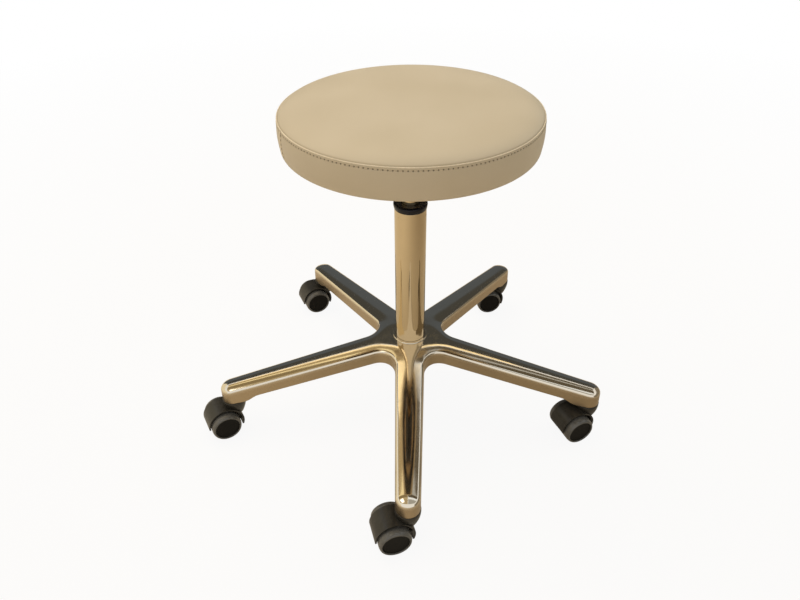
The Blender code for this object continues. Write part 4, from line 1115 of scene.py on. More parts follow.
    def lining(self) -> Shell:
        """The lining: a flat ring whose lower face waves a little between its edges, as slack cloth does."""
        reach = np.linspace(self.lining_inside, self.lining_outside, 13)
        lower = np.column_stack((reach, np.full_like(reach, self.bottom)))
        shell = lathe(np.concatenate((lower, lower[::-1] + (0.0, self.cover))), 240, ring=True)
        x, y, z = shell.points.T
        angle = np.arctan2(y, x)
        way = (np.hypot(x, y) - self.lining_inside) / (self.lining_outside - self.lining_inside)
        wave = 0.5 + 0.5 * np.cos(31 * angle + 2.5 * np.sin(4 * angle) + 3.0 * way)
        slack = 0.0005 * np.sin(np.pi * np.clip(way, 0.0, 1.0)) * wave
        shell.points = np.column_stack((x, y, z + np.where(z < self.bottom + self.cover / 2, slack, 0.0)))
        return shell

    def build(self, finishes: Finishes) -> None:
        """Makes the seat's pieces and dresses them."""
        body = Body.SEAT.value
        cover = add_piece(
            "seat_cover", self.cover_shell(), finishes["leather"], body, ["seat_cushion"], 60.0,
        )
        # the seam ridge and the band joint take the paler seam finish, a painted highlight
        for name, shell, use, slot, sharp in (
            ("seam_ridge", self.seam_ridge(), "seam", Slot.LEATHER, 60.0),
            ("band_joint", self.joint_ridge(), "seam", Slot.LEATHER, 60.0),
            ("top_stitching", self.top_stitching(), "thread", Slot.LEATHER, 70.0),
            ("joint_stitching", self.joint_stitching(), "dark_thread", Slot.LEATHER, 70.0),
            ("hem_staples", self.hem_staples(), "zinc", Slot.ZINC, 70.0),
        ):
            add_piece(name, shell, finishes[use], body, sharp=sharp)
        add_piece("lining_cloth", self.lining(), finishes["lining"], body, ["underside_lining"])


@dataclass
class SeatMount:
    """The pressed plate under the seat, its screws, and the release lever with its grip."""

    half_side: float = 0.075
    corner_power: float = 11.5
    round_reach: float = 0.052  # where the round dish starts to turn into the square flange
    plate_bottom: float = 0.4844
    plate_top: float = 0.4874
    wall: float = 0.003
    dish_radius: float = 0.0477
    dish_floor_radius: float = 0.043
    dish_floor: float = 0.4579
    socket_radius: float = 0.0195
    socket_bottom: float = 0.4303
    bore_low: float = 0.0143
    bore_high: float = 0.0137
    slot_half_width: float = 0.007
    slot_length: float = 0.018
    lug_gap: float = 0.0006
    lug_thickness: float = 0.003
    lug_half_length: float = 0.006
    pin_bore: float = 0.0023
    pin_half_length: float = 0.02
    screw_place: float = 0.060
    screw_corners: tuple[tuple[int, int], ...] = ((1, 1), (-1, 1), (-1, -1), (1, -1))
    screw_radius: float = 0.003
    screw_head_radius: float = 0.0055
    screw_head: float = 0.003
    screw_top: float = 0.4972
    recess: float = 0.0013
    recess_reach: float = 0.0027
    recess_half_width: float = 0.00055
    lever_radius: float = 0.004
    pivot_y: float = 0.024
    lever_height: float = 0.4747
    lever_start: float = -0.0055
    bend_start: float = 0.052
    bend_end: float = 0.112
    lever_end: float = 0.186
    drop: float = 0.024
    grip_start: float = 0.137
    grip_end: float = 0.195
    grip_half_width: float = 0.013
    grip_half_height: float = 0.0065
    grip_power: float = 3.4
    grooves: int = 6
    groove_depth: float = 0.0007
    groove_reach: float = 0.66  # share of the grip's half length that has grooves

    def sheet(self) -> Shell:
        """The pressed sheet: a section carried round the axis and drawn out to a rounded square on the flange.

        A row's reach at angle a is its radius, blended into its radius times (|cos a|^p + |sin a|^p)^(-1/p).
        """
        floor_top = self.dish_floor + self.wall
        section = rounded([
            (self.half_side, self.plate_top, 0.0006),
            (self.half_side, self.plate_bottom, 0.0006),
            (self.dish_radius, self.plate_bottom, 0.0030),
            (self.dish_floor_radius, self.dish_floor, 0.0035),
            (self.socket_radius, self.dish_floor, 0.0012),
            (self.socket_radius, self.socket_bottom, 0.0008),
            (self.bore_low, self.socket_bottom, 0.0005),
            (self.bore_high, floor_top, 0.0003),
            (self.dish_floor_radius - self.wall, floor_top, 0.0020),
            (self.dish_radius - self.wall, self.plate_top, 0.0012),
        ], ring=True)
        angle = whole_turn(240)
        radius, height = section[:, :1], section[:, 1:]
        share = np.clip((radius - self.round_reach) / (self.half_side - 0.002 - self.round_reach), 0.0, 1.0)
        return Shell.round_z(radius * (1 + share * (squared(angle, self.corner_power) - 1)), angle, height, ring=True)

    def pin_hole(self) -> Shell:
        """The space of the lever's pin, a cylinder across the lever."""
        pin = rod(self.pin_bore, -self.pin_half_length, self.pin_half_length, 24)
        return pin.laid_along_y().moved(math.pi / 2, (0.0, self.pivot_y, self.lever_height))

    def plate(self) -> Mesh:
        """The sheet with two lugs for the lever's pin, and the lever's slot in the dish's wall."""
        near = self.lever_radius + self.lug_gap
        far = near + self.lug_thickness
        front, back = self.pivot_y - self.lug_half_length, self.pivot_y + self.lug_half_length
        low, high = self.dish_floor + 0.7 * self.wall, self.lever_height + self.lever_radius
        slot_low, slot_high = self.dish_floor + 2 * self.wall, self.plate_bottom - self.wall / 6
        slot_front = self.dish_floor_radius - 2 * self.wall
        side = self.slot_half_width
        slot = Shell.box((-side, slot_front, slot_low), (side, slot_front + self.slot_length, slot_high))
        return carved("pressed_seat_plate", self.sheet(), [
            ("UNION", Shell.box((-far, front, low), (-near, back, high))),
            ("UNION", Shell.box((near, front, low), (far, back, high))),
            ("DIFFERENCE", slot),
            ("DIFFERENCE", self.pin_hole()),
        ], 0.0004)

    def screw(self) -> Mesh:
        """A pan head screw with a cross recess, on the axis."""
        head = self.plate_bottom - 0.0003
        low = head - self.screw_head
        blank = lathe(rounded([
            (0.0, low, 0.0),
            (self.screw_head_radius, low, 0.0016),
            (self.screw_head_radius, head, 0.0003),
            (self.screw_radius, head, 0.0),
            (self.screw_radius, self.screw_top - 0.001, 0.0),
            (0.0, self.screw_top, 0.0),
        ]), 48)
        sides = self.recess_reach, self.recess_half_width
        return carved("screw", blank, [
            ("DIFFERENCE", Shell.box((-x, -y, low - 0.001), (x, y, low + self.recess)))
            for x, y in (sides, sides[::-1])
        ], 0.0001)

    def lever(self) -> Mesh:
        """The bent rod: a circle carried along a level run, a bend and a lower run, and drilled for its pin.

        Over the bend the height falls by s^2 (3 - 2 s) of the drop, where s is the share of the way along it.
        """
        run = np.concatenate((
            [self.lever_start],
            np.linspace(self.lever_start, self.bend_start, 12, endpoint=False),
            np.linspace(self.bend_start, self.bend_end, 48, endpoint=False),
            np.linspace(self.bend_end, self.lever_end, 12),
            [self.lever_end],
        ))[:, None]
        length = self.bend_end - self.bend_start
        share = np.clip((run - self.bend_start) / length, 0.0, 1.0)
        slope = -self.drop * 6 * share * (1 - share) / length
        size = np.full_like(run, self.lever_radius)
        size[[0, -1]] = 0.0
        turn = whole_turn(28)
        lift = size * np.sin(turn) / np.hypot(1.0, slope)
        height = self.lever_height - self.drop * eased(share)
        shape = Shell.grid(size * np.cos(turn), run - lift * slope, height + lift)
        return carved("bent_release_lever", shape, [("DIFFERENCE", self.pin_hole())], 0.0004)

    def grip(self) -> Shell:
        """The finger grip: a flat rounded section that closes at both ends, with grooves across it.

        The section is a superellipse. Its size falls with the root of 1 - w^10 over the way w from -1 to 1, and the
        grooves are cosine waves on its upper and lower faces.
        """
        way = np.sin(np.linspace(-np.pi / 2, np.pi / 2, 91))[:, None]
        turn = whole_turn(72)
        outline = np.sqrt(np.clip(1 - way ** 10, 0.0, 1.0)) * squared(turn, self.grip_power)
        share = way / self.groove_reach
        waves = np.clip(1 - share ** 8, 0.0, 1.0) * (0.5 + 0.5 * np.cos(np.pi * share * self.grooves))
        return Shell.grid(
            self.grip_half_width * outline * np.cos(turn),
            (self.grip_start + self.grip_end) / 2 + (self.grip_end - self.grip_start) / 2 * way,
            self.lever_height - self.drop
            + (self.grip_half_height - self.groove_depth * waves) * outline * np.sin(turn),
        )

    def build(self, finishes: Finishes) -> None:
        """Makes the mount's pieces and dresses them."""
        seat, lever, steel = Body.SEAT.value, Body.LEVER.value, finishes["coated_steel"]
        add_piece("pressed_seat_plate", self.plate(), steel, seat, ["seat_plate"])
        screw = self.screw()
        for number, (x, y) in enumerate(self.screw_corners, 1):
            mesh = screw.copy()
            place = Matrix.Translation((x * self.screw_place, y * self.screw_place, 0.0))
            mesh.transform(place @ Matrix.Rotation(1.1 * number, 4, "Z"))
            add_piece(f"recessed_screw_{number}", mesh, finishes["zinc"], seat, [f"seat_screw_{number}"])
        add_piece("bent_release_lever", self.lever(), steel, lever, ["release_lever"])
        add_piece("grooved_lever_grip", self.grip(), finishes["hood"], lever, ["lever_grip"], 60.0)


@dataclass
class GasLift:
    """The column: chromed tube, black guide bush and the cylinder that carries the seat."""

    tube_radius: float = 0.025
    tube_foot_radius: float = 0.0243
    tube_wall: float = 0.0018
    tube_bottom: float = 0.0555
    tube_top: float = 0.378
    tube_edge: float = 0.0012  # rolled part of the tube's top
    hub_top: float = 0.127
    floor: float = 0.003
    floor_hole: float = 0.006
    crimp_drop: float = 0.0095
    crimp_radius: float = 0.0026
    crimp_depth: float = 0.0008
    crimp_angles: tuple[float, ...] = (-136.0, -16.0, 104.0)
    bush_bottom: float = 0.3783
    bush_top: float = 0.3875
    bush_foot: float = 0.0256
    bush_rim: float = 0.0271
    bush_sleeve: float = 0.080
    cylinder_radius: float = 0.014
    cylinder_bore: float = 0.011
    cylinder_bottom: float = 0.1205
    cylinder_top: float = 0.4624
    cylinder_head: float = 0.036
    lip_radius: float = 0.0095
    lip: float = 0.0015
    pin_bore: float = 0.0043
    cone_bottom: float = 0.43
    cone_top_radius: float = 0.0133
    gap: float = 0.0003

    def tube(self) -> Shell:
        """The tube: a tapered foot, a straight wall and a rolled top edge, with round dents pressed into the wall."""
        inner = self.tube_radius - self.tube_wall
        floor = self.tube_bottom + self.floor
        profile = rounded([
            (self.tube_radius, self.tube_top, 0.0006),
            (self.tube_radius, self.hub_top, 0.0),
            (self.tube_foot_radius, self.tube_bottom, 0.0010),
            (self.floor_hole, self.tube_bottom, 0.0004),
            (self.floor_hole, floor, 0.0),
            (self.tube_foot_radius - self.tube_wall, floor, 0.0),
            (inner, self.hub_top, 0.0),
            (inner, self.tube_top, 0.0006),
        ], ring=True)
        edge = self.tube_top - self.tube_edge
        wall = np.linspace(edge, self.tube_top - 2 * self.crimp_drop, 44)
        spot = int(np.argmax(profile[:, 1] < edge))
        profile = np.insert(profile, spot, np.column_stack((np.full_like(wall, self.tube_radius), wall)), axis=0)
        shell = lathe(profile, 240, ring=True)
        x, y, z = shell.points.T
        reach = np.hypot(x, y)
        dent = np.zeros_like(reach)
        for angle in np.radians(self.crimp_angles):
            across = wrapped(np.arctan2(y, x) - angle) * self.tube_radius
            away = np.hypot(across, z - (self.tube_top - self.crimp_drop))
            dent += np.exp(-((away / (0.62 * self.crimp_radius)) ** 4))
        outside = reach > self.tube_radius - 0.0002
        factor = 1.0 - np.where(outside, dent, 0.0) * self.crimp_depth / self.tube_radius
        shell.points = np.column_stack((x * factor, y * factor, z))
        return shell

    def bush(self) -> Shell:
        """The guide bush: a flared collar with a round rim over a sleeve inside the tube."""
        bore = self.cylinder_radius + self.gap
        sleeve = self.tube_radius - self.tube_wall - self.gap
        low = self.bush_bottom - self.bush_sleeve
        return lathe(rounded([
            (bore, self.bush_top, 0.0010),
            (self.bush_rim, self.bush_top, 0.0038),
            (self.bush_foot, self.bush_bottom, 0.0016),
            (sleeve, self.bush_bottom, 0.0),
            (sleeve, low, 0.0),
            (bore, low, 0.0),
        ], ring=True), 160, ring=True)

    def cylinder(self) -> Shell:
        """The pressure cylinder with its cone at the top and its bores."""
        lip, head = self.cylinder_bottom + self.lip, self.cylinder_top - self.cylinder_head
        return lathe(rounded([
            (self.cone_top_radius, self.cylinder_top, 0.0008),
            (self.cylinder_radius, self.cone_bottom, 0.0),
            (self.cylinder_radius, self.cylinder_bottom, 0.0010),
            (self.lip_radius, self.cylinder_bottom, 0.0),
            (self.lip_radius, lip, 0.0),
            (self.cylinder_bore, lip, 0.0),
            (self.cylinder_bore, head, 0.0),
            (self.pin_bore, head, 0.0),
            (self.pin_bore, self.cylinder_top, 0.0),
        ], ring=True), 128, ring=True)

    def build(self, finishes: Finishes) -> None:
        """Makes the column's pieces and dresses them."""
        for name, shell, use, body, slot, node in (
            ("chromed_tube", self.tube(), "chrome", Body.BASE, Slot.CHROME, "column_tube"),
            ("black_collar", self.bush(), "collar", Body.BASE, Slot.GLOSS_BLACK, "guide_bush"),
            ("lift_cylinder", self.cylinder(), "chrome", Body.SEAT, Slot.CHROME, "gas_cylinder"),
        ):
            add_piece(name, shell, finishes[use], body.value, [node])


@dataclass
class StarBase:
    """The cast base: five hollow arms that flow into a hub round the column."""

    arms: int = 5
    stem_circle: float = 0.316
    root_half_width: float = 0.0256
    tip_radius: float = 0.018
    fillet: float = 0.030
    draft: float = 0.0008
    wall: float = 0.005
    skin: float = 0.006
    shoulder: float = 0.0042
    edge: float = 0.0007  # of the rounding along the flank's lower end
    hub_top: float = 0.127
    hub_bottom: float = 0.066
    hub_lip: float = 0.0012
    hub_ring: float = 0.0274
    hub_soft: float = 0.004  # how softly the ridge leaves the hub
    arm_rise: float = 0.0365
    tip_bottom: float = 0.0645
    tip_shoulder: float = 0.0905
    tip_crown: float = 0.0045
    root_depth: float = 0.0247
    tip_depth: float = 0.0214
    tube_clear: float = 0.0253
    sleeve_radius: float = 0.0313
    sleeve_bore: float = 0.0247
    lip_radius: float = 0.0295
    lip_foot: float = 0.0300
    boss_radius: float = 0.0135
    socket_radius: float = 0.0058
    socket_depth: float = 0.0238
    rib_places: tuple[float, ...] = (0.36, 0.66)
    rib_thickness: float = 0.0035
    fillet_stations: int = 26
    side_stations: int = 40
    tip_stations: int = 20
    top_rows: int = 22

    @property
    def headings(self) -> list[float]:
        """The ways that the arms point."""
        return [-math.pi / 2 + TURN * number / self.arms for number in range(self.arms)]

    @property
    def taper(self) -> float:
        """How much half an arm's width shrinks over each metre."""
        return (self.root_half_width - self.tip_radius) / self.stem_circle

    @property
    def lean(self) -> float:
        """The angle between an arm's side and its axis."""
        return math.atan(self.taper)

    @property
    def slant(self) -> float:
        """The length of an arm's side over each metre of its axis."""
        return math.hypot(1.0, self.taper)

    @property
    def side_end(self) -> float:
        """Where an arm's straight side meets its round tip, along the arm."""
        return self.stem_circle + self.tip_radius * math.sin(self.lean)

    @property
    def fillet_centre(self) -> Array:
        """The middle of the fillet between an arm and the next, on the line between them."""
        half = math.pi / self.arms
        reach = (self.fillet * self.slant + self.root_half_width) / (self.taper * math.cos(half) + math.sin(half))
        return reach * np.array([math.cos(half), math.sin(half)])

    def along(self, x: Array, y: Array) -> Array:
        """Distance along the nearest arm, smooth across the line between two arms.

        It is the distance from the column times a wave with one crest for each arm.
        """
        half = math.cos(math.pi / self.arms)
        wave = (1 + half) / 2 + (1 - half) / 2 * np.cos(self.arms * np.arctan2(y, x))
        return np.hypot(x, y) * wave

    def side_share(self, x: Array, y: Array) -> Array:
        """0 on an arm's ridge and on the hub, 1 on the outline: one less the distance to it over the half width."""
        y = np.abs(y)
        centre = self.fillet_centre
        start = centre + self.fillet * np.array([-math.sin(self.lean), -math.cos(self.lean)])
        run = ((x - start[0]) - self.taper * (y - start[1])) / self.slant
        side = (self.root_half_width - self.taper * x - y) / self.slant
        width = (self.root_half_width - self.taper * np.clip(x, start[0], self.side_end)) / self.slant
        root = np.hypot(x - centre[0], y - centre[1]) - self.fillet
        tip = self.tip_radius - np.hypot(x - self.stem_circle, y)
        last = (x - self.stem_circle) * math.cos(self.lean) - y * math.sin(self.lean) > 0
        away = np.where(run < 0, root, np.where(last, tip, side))
        return np.clip(1 - away / width, 0.0, 1.2)

    def top(self, x: Array, y: Array) -> Array:
        """Height of the polished top: a straight ridge, less a crown that falls with the square of the side share."""
        along, soft = self.along(x, y), self.hub_soft
        slope = (self.hub_top - self.tip_shoulder - self.tip_crown) / (self.stem_circle - self.hub_ring)
        ridge = self.hub_top - slope * soft * np.logaddexp(0.0, (along - self.hub_ring - soft) / soft)
        edge = self.hub_top - self.arm_rise * along / self.stem_circle
        return ridge - (ridge - edge) * self.side_share(x, y) ** 2

    def low_edge(self, x: Array, y: Array) -> Array:
        """Height of an arm's lower edge, which steps down to the caster's seat at the tip."""
        along = self.along(x, y)
        share = along / self.stem_circle
        plain = self.hub_top - self.arm_rise * share - self.root_depth - (self.tip_depth - self.root_depth) * share
        step = np.clip((along - self.stem_circle + 2.2 * self.tip_radius) / (1.2 * self.tip_radius), 0.0, 1.0)
        return plain + (self.tip_bottom - plain) * eased(step)

    def stations(self) -> list[Array]:
        """An arm's outline, from one fillet's middle round the tip to the other.

        Returns:
            The outline's points, the points inside that each is joined to, and the outline's outward normals.
        """
        half, centre, lean = math.pi / self.arms, self.fillet_centre, self.lean
        turn = np.linspace(math.pi + half, 1.5 * math.pi - lean, self.fillet_stations, endpoint=False)
        swing = half * (1 - np.arange(self.fillet_stations) / self.fillet_stations)
        share = np.linspace(0.0, 1.0, self.side_stations, endpoint=False)
        start = centre[0] - self.fillet * math.sin(lean)
        x = start + (self.side_end - start) * share
        ridge = self.hub_ring + (self.stem_circle - self.hub_ring) * share
        tip = unit(np.linspace(math.pi / 2 - lean, 0.0, self.tip_stations))
        stem = np.array([self.stem_circle, 0.0])
        lines = (
            (centre + self.fillet * unit(turn), np.column_stack((x, self.root_half_width - self.taper * x)),
             stem + self.tip_radius * tip),
            (self.hub_ring * unit(swing), np.column_stack((ridge, np.zeros_like(ridge))),
             np.tile(stem, (self.tip_stations, 1))),
            (-unit(turn), np.tile((math.sin(lean), math.cos(lean)), (self.side_stations, 1)), tip),
        )
        halves = [np.concatenate(line) for line in lines]
        return [np.concatenate((line * (1.0, -1.0), line[-2:0:-1])) for line in halves]

    def arm(self) -> tuple[Array, Array]:
        """One arm's points as stations by rows.

        Each station's section runs over the top, round the shoulder on a quadratic curve, down the flank, round
        the lower edge, up inside the hollow and under the skin.

        Returns:
            Points, shape (stations, rows, 3), and the flank and raw shares of each row, shape (rows, 2).
        """
        outline, inner, normal = self.stations()

        def laid(flat: Array, below: float = 0.0) -> Array:
            """Plan points set on the top, or so far below it."""
            return raised(flat, self.top(flat[..., 0], flat[..., 1]) - below)

        inset, inside = outline - normal * self.shoulder, outline - normal * self.wall
        foot = outline + normal * self.draft
        start, low = laid(inset), self.low_edge(*outline.T)
        step = 0.0004
        slope = (start[:, 2] - laid(inset - normal * step)[:, 2]) / step
        corner = start[:, 2] + slope * self.shoulder
        lean = (self.shoulder / (corner - low))[:, None]
        end = raised(outline + (foot - outline) * lean, corner - self.shoulder)
        over = (1 - (1 - np.linspace(0.0, 1.0, self.top_rows)) ** 1.25)[None, :, None]
        curve, down, back = (np.linspace(0.0, 1.0, rows)[None, 1:, None] for rows in (10, 6, 7))
        points = np.concatenate((
            laid(inner[:, None] + (inset - inner)[:, None] * over),
            bend(curve, start[:, None], raised(outline, corner)[:, None], end[:, None]),
            end[:, None] + (raised(foot, low + self.edge) - end)[:, None] * down,
            raised(foot - normal * self.edge, low)[:, None],
            raised(inside + normal * self.edge, low)[:, None],
            raised(inside, low + self.edge)[:, None],
            laid(inside, self.skin)[:, None],
            laid(inside[:, None] + (inner - inside)[:, None] * back, self.skin),
        ), axis=1)
        row = np.arange(points.shape[1]) - self.top_rows
        return points, np.column_stack((np.clip((row - 3) / 6, 0.0, 1.0), row >= 16)).astype(float)

    def shell(self) -> Shell:
        """The whole casting: the arms as one closed skin, the hub's sleeve, ribs and caster bosses."""
        points, shares = self.arm()
        stations, rows, _ = points.shape
        loop = np.concatenate([turned(points, angle) for angle in self.headings])
        first = np.arange(len(loop))
        place = first % stations
        first = first[(place < self.fillet_stations) | (place >= stations - self.fillet_stations)]
        after = (first + 1) % len(loop)
        closing = np.stack((first * rows, first * rows + rows - 1, after * rows + rows - 1, after * rows), axis=1)
        faces = np.concatenate((grid_faces(len(loop), rows, True, False), closing))
        names = "flank", "raw"
        tiled = {name: np.tile(share, len(loop)) for name, share in zip(names, shares.T)}
        extra = [self.sleeve()]
        for angle in self.headings:
            extra += [piece.moved(angle) for piece in (self.boss(), *self.ribs())]
        for piece in extra:
            inside = (piece.points[:, 2] < self.hub_top - 0.0025).astype(float)
            piece.shares = dict(zip(names, (np.zeros_like(inside), inside)))
        return Shell.joined([Shell(loop.reshape(-1, 3), faces, tiled), *extra])

    def sleeve(self) -> Shell:
        """The hub's sleeve with the thin lip that shows round the column."""
        lip = self.hub_top + self.hub_lip
        return lathe(rounded([
            (self.tube_clear, lip, 0.0004),
            (self.lip_radius, lip, 0.0007),
            (self.lip_foot, self.hub_top - 0.0006, 0.0004),
            (self.sleeve_radius, self.hub_top - 0.003, 0.0),
            (self.sleeve_radius, self.hub_bottom, 0.0008),
            (self.sleeve_bore, self.hub_bottom, 0.0004),
            (self.tube_clear, self.hub_top, 0.0),
        ], ring=True), 160, ring=True)

    def boss(self) -> Shell:
        """The boss inside an arm's tip, bored for the caster's stem."""
        top = self.tip_shoulder + self.tip_crown - 0.85 * self.skin
        low = self.tip_bottom + 0.0006
        bore = self.tip_bottom + self.socket_depth
        return lathe(rounded([
            (0.0, top, 0.0),
            (self.boss_radius, top, 0.0),
            (self.boss_radius, low, 0.0006),
            (self.socket_radius, low, 0.0004),
            (self.socket_radius, bore, 0.0),
            (0.0, bore, 0.0),
        ]), 64).moved(0.0, (self.stem_circle, 0.0, 0.0))

    def ribs(self) -> list[Shell]:
        """The cross ribs in an arm's hollow."""
        made = []
        for place in (self.stem_circle * share for share in self.rib_places):
            half = self.root_half_width - self.taper * place - 0.75 * self.wall
            x, y = np.array([place]), np.array([0.0])
            top = float(self.top(x, y)[0]) - 0.9 * self.skin
            low = float(self.low_edge(x, y)[0]) + 0.006
            made.append(Shell.box((place, -half, low), (place + self.rib_thickness, half, top)))
        return made

    def build(self, finishes: Finishes) -> None:
        """Makes the casting and dresses it."""
        add_piece(
            "star_casting", self.shell(), finishes["aluminium"], Body.BASE.value, ["star_base"], 36.0,
        )


@dataclass
class HoodedCaster:
    """One of the casters: a moulded hood on a stem, and two wheels with soft treads."""

    number: int
    heading: float
    place: tuple[float, float]
    trail: float = 0.0257
    wheel_radius: float = 0.025
    wheel_face: float = 0.0297
    web: float = 0.0055
    hub_face: float = 0.006
    hood_outer: float = 0.0306
    hood_inner: float = 0.028
    hood_shift: float = 0.002
    hood_half_width: float = 0.0185
    front_drop: float = 24.0
    rear_drop: float = 2.0
    housing_top: float = 0.0642
    neck_radius: float = 0.0194
    neck_foot_radius: float = 0.0125
    neck_depth: float = 0.030
    neck_straight: float = 0.16  # share of its depth before it draws in
    neck_power: float = 1.7
    boss_radius: float = 0.0085
    axle_radius: float = 0.003
    axle_end: float = 0.006  # from the wheel's face back to the axle's end
    stem_radius: float = 0.0055
    stem_depth: float = 0.0193
    tread_thickness: float = 0.0045
    tread_face: float = 0.0016
    tread_shoulder: float = 0.0078
    tread_inset: float = 0.0015
    disc_recess: float = 0.0016
    gap: float = 0.0003

    @property
    def name(self) -> str:
        """The caster's name, which its bodies and nodes start with."""
        return f"caster_{self.number}"

    def drum(self, radius: float, low: float, high: float, shift: float = 0.0, steps: int = 120) -> Shell:
        """A cylinder along the axle between two distances from the middle plane."""
        return rod(radius, low, high, steps).laid_along_y().moved(0.0, (self.trail - shift, 0.0, self.wheel_radius))

    def hood_cut(self) -> Shell:
        """The space below the hood's two ends: a fan about the hood's middle, carried across, with flat ends."""
        far = 3 * self.hood_outer
        turn = np.radians(np.linspace(180 + self.front_drop, 360 - self.rear_drop, 5))
        x, z = np.concatenate(([(0.0, 0.0)], far * unit(turn))).T
        open_share = np.array([0.0, 1.0, 1.0, 0.0])[:, None]
        side = self.hood_outer * np.array([-1.0, -1.0, 1.0, 1.0])[:, None]
        height = open_share * z - (1 - open_share) * far / 3
        return Shell.grid(open_share * x + self.trail - self.hood_shift, side, height + self.wheel_radius)

    def neck(self) -> Shell:
        """The collar under the arm's tip, which draws in towards the hood."""
        top, radius = self.housing_top, self.neck_radius
        share = np.linspace(0.0, 1.0, 14)
        down = self.neck_straight + (1 - self.neck_straight) * share
        drawn_in = (radius - self.neck_foot_radius) * share ** self.neck_power
        wall = np.column_stack((radius - drawn_in, top - self.neck_depth * down))
        head = [(0.0, top), (radius - 0.0009, top), (radius - 0.0003, top - 0.0003), (radius, top - 0.0009)]
        return lathe(np.concatenate((head, wall, [(0.0, wall[-1, 1])])), 72)

    def housing(self) -> Mesh:
        """The moulded housing in the caster's own frame: hood, neck, web between the wheels, axle boss and bores."""
        half, shift, outside = self.hood_half_width, self.hood_shift, 2 * self.hood_half_width
        boss = self.hub_face - self.gap
        stem = rod(self.stem_radius + self.gap, self.housing_top - self.stem_depth, self.housing_top + 0.005, 32)
        return carved("caster_housing", self.drum(self.hood_outer, -half, half, shift), [
            ("DIFFERENCE", self.hood_cut()),
            ("UNION", self.neck()),
            ("DIFFERENCE", self.drum(self.hood_inner, self.web, outside, shift)),
            ("DIFFERENCE", self.drum(self.hood_inner, -outside, -self.web, shift)),
            ("UNION", self.drum(self.boss_radius, -boss, boss, steps=48)),
            ("DIFFERENCE", stem),
            ("DIFFERENCE", self.drum(self.axle_radius + self.gap, -2 * self.web, 2 * self.web, steps=32)),
        ], 0.0005)

    def disc(self) -> Shell:
        """The wheel's body: a flat recessed face with a low rim, a wall under the tread and a blind bore."""
        face = self.wheel_face - self.disc_recess
        rim = self.wheel_radius - self.tread_thickness - self.gap
        bore, end = self.axle_radius + self.gap, self.wheel_face - self.axle_end + self.gap
        return lathe(rounded([
            (0.0, face - 0.0003, 0.0),
            (rim - 0.0022, face - 0.0003, 0.0008),
            (rim - 0.0016, face, 0.0003),
            (rim, face, 0.0005),
            (rim, self.hub_face + self.tread_inset, 0.0004),
            (self.boss_radius, self.hub_face, 0.0004),
            (bore, self.hub_face, 0.0),
            (bore, end, 0.0),
            (0.0, end, 0.0),
        ], steps=4), 96).laid_along_y()

    def tread(self) -> Shell:
        """The soft tread: a ring with a narrow flat face, whose outer shoulder is a quarter of an ellipse."""
        radius, face = self.wheel_radius, self.wheel_face
        inner = radius - self.tread_thickness
        edge = inner + self.tread_face
        turn = np.radians(np.linspace(90.0, 0.0, 16))
        shoulder = np.column_stack((
            edge + (radius - edge) * np.cos(turn), face - self.tread_shoulder * (1 - np.sin(turn)),
        ))
        wall = self.hub_face + self.tread_inset
        back = rounded([
            (radius, wall + 0.006, 0.0), (radius, wall, 0.0012), (inner, wall, 0.0003), (inner, wall + 0.002, 0.0),
        ])
        lip = [(inner, face - 0.0010), (inner + 0.0001, face - 0.0005), (inner + 0.0004, face - 0.0001)]
        return lathe(np.concatenate((lip, shoulder, back)), 96, ring=True).laid_along_y()

    def build(self, finishes: Finishes, housing: Mesh) -> None:
        """Makes the caster's pieces and dresses them.

        Args:
            finishes: Materials by the name of their use.
            housing: The housing in the caster's own frame, which all casters share.
        """
        name, place = self.name, (*self.place, 0.0)
        hood = housing.copy()
        hood.transform(Matrix.Translation(place) @ Matrix.Rotation(self.heading, 4, "Z"))
        add_piece(f"{name}_hood", hood, finishes["hood"], name, [f"{name}_housing"])
        for side, angle in (("a", 0.0), ("b", math.pi)):
            for use, shell, slot, node in (
                ("disc", self.disc(), Slot.DISC, "wheel"), ("tyre", self.tread(), Slot.TREAD, "tread"),
            ):
                local = shell.moved(angle).moved(0.0, (self.trail, 0.0, self.wheel_radius))
                add_piece(f"{name}_{use}_{side}", local.moved(self.heading, place), finishes[use],
                          f"{name}_wheel_{side}", [f"{name}_{node}_{side}"])


@dataclass
class Workings:
    """The pieces under the seat and inside the column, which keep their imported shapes."""

    uses: dict[str, str] = field(default_factory=lambda: {
        "seat_board": "plywood", "rod_guide": "collar", "piston_rod": "chrome", "piston": "rubber",
        "rod_bumper": "rubber",
    })
    plain: str = "zinc"

    def dress(self, finishes: Finishes) -> None:
        """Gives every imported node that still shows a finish."""
        for name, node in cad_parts.items():
            if node.hide_render:
                continue
            material = finishes[self.uses.get(name, self.plain)]
            node.data.materials.clear()
            node.data.materials.append(material)
            LOG.info("%s: packed shape, %s", name, material.name)


# Studio


def glowing(name: str) -> tuple[Material, Sheet]:
    """Starts a material without the usual shader."""
    material = bpy.data.materials.new(name)
    material.use_nodes = True
    material.node_tree.nodes.remove(material.node_tree.nodes["Principled BSDF"])
    return material, Sheet(material.node_tree)


def stage_piece(name: str, mesh: Mesh, material: Material, shader: Value) -> Item:
    """Puts a piece of the studio on the stage.

    Args:
        name: The piece's name.
        mesh: Its mesh.
        material: Its material.
        shader: What the material sends out.

    Returns:
        The piece's object.
    """
    shader.sheet.feed(material.node_tree.nodes["Material Output"], {"Surface": shader})
    mesh.materials.append(material)
    item = new_object(name, mesh)
    return item


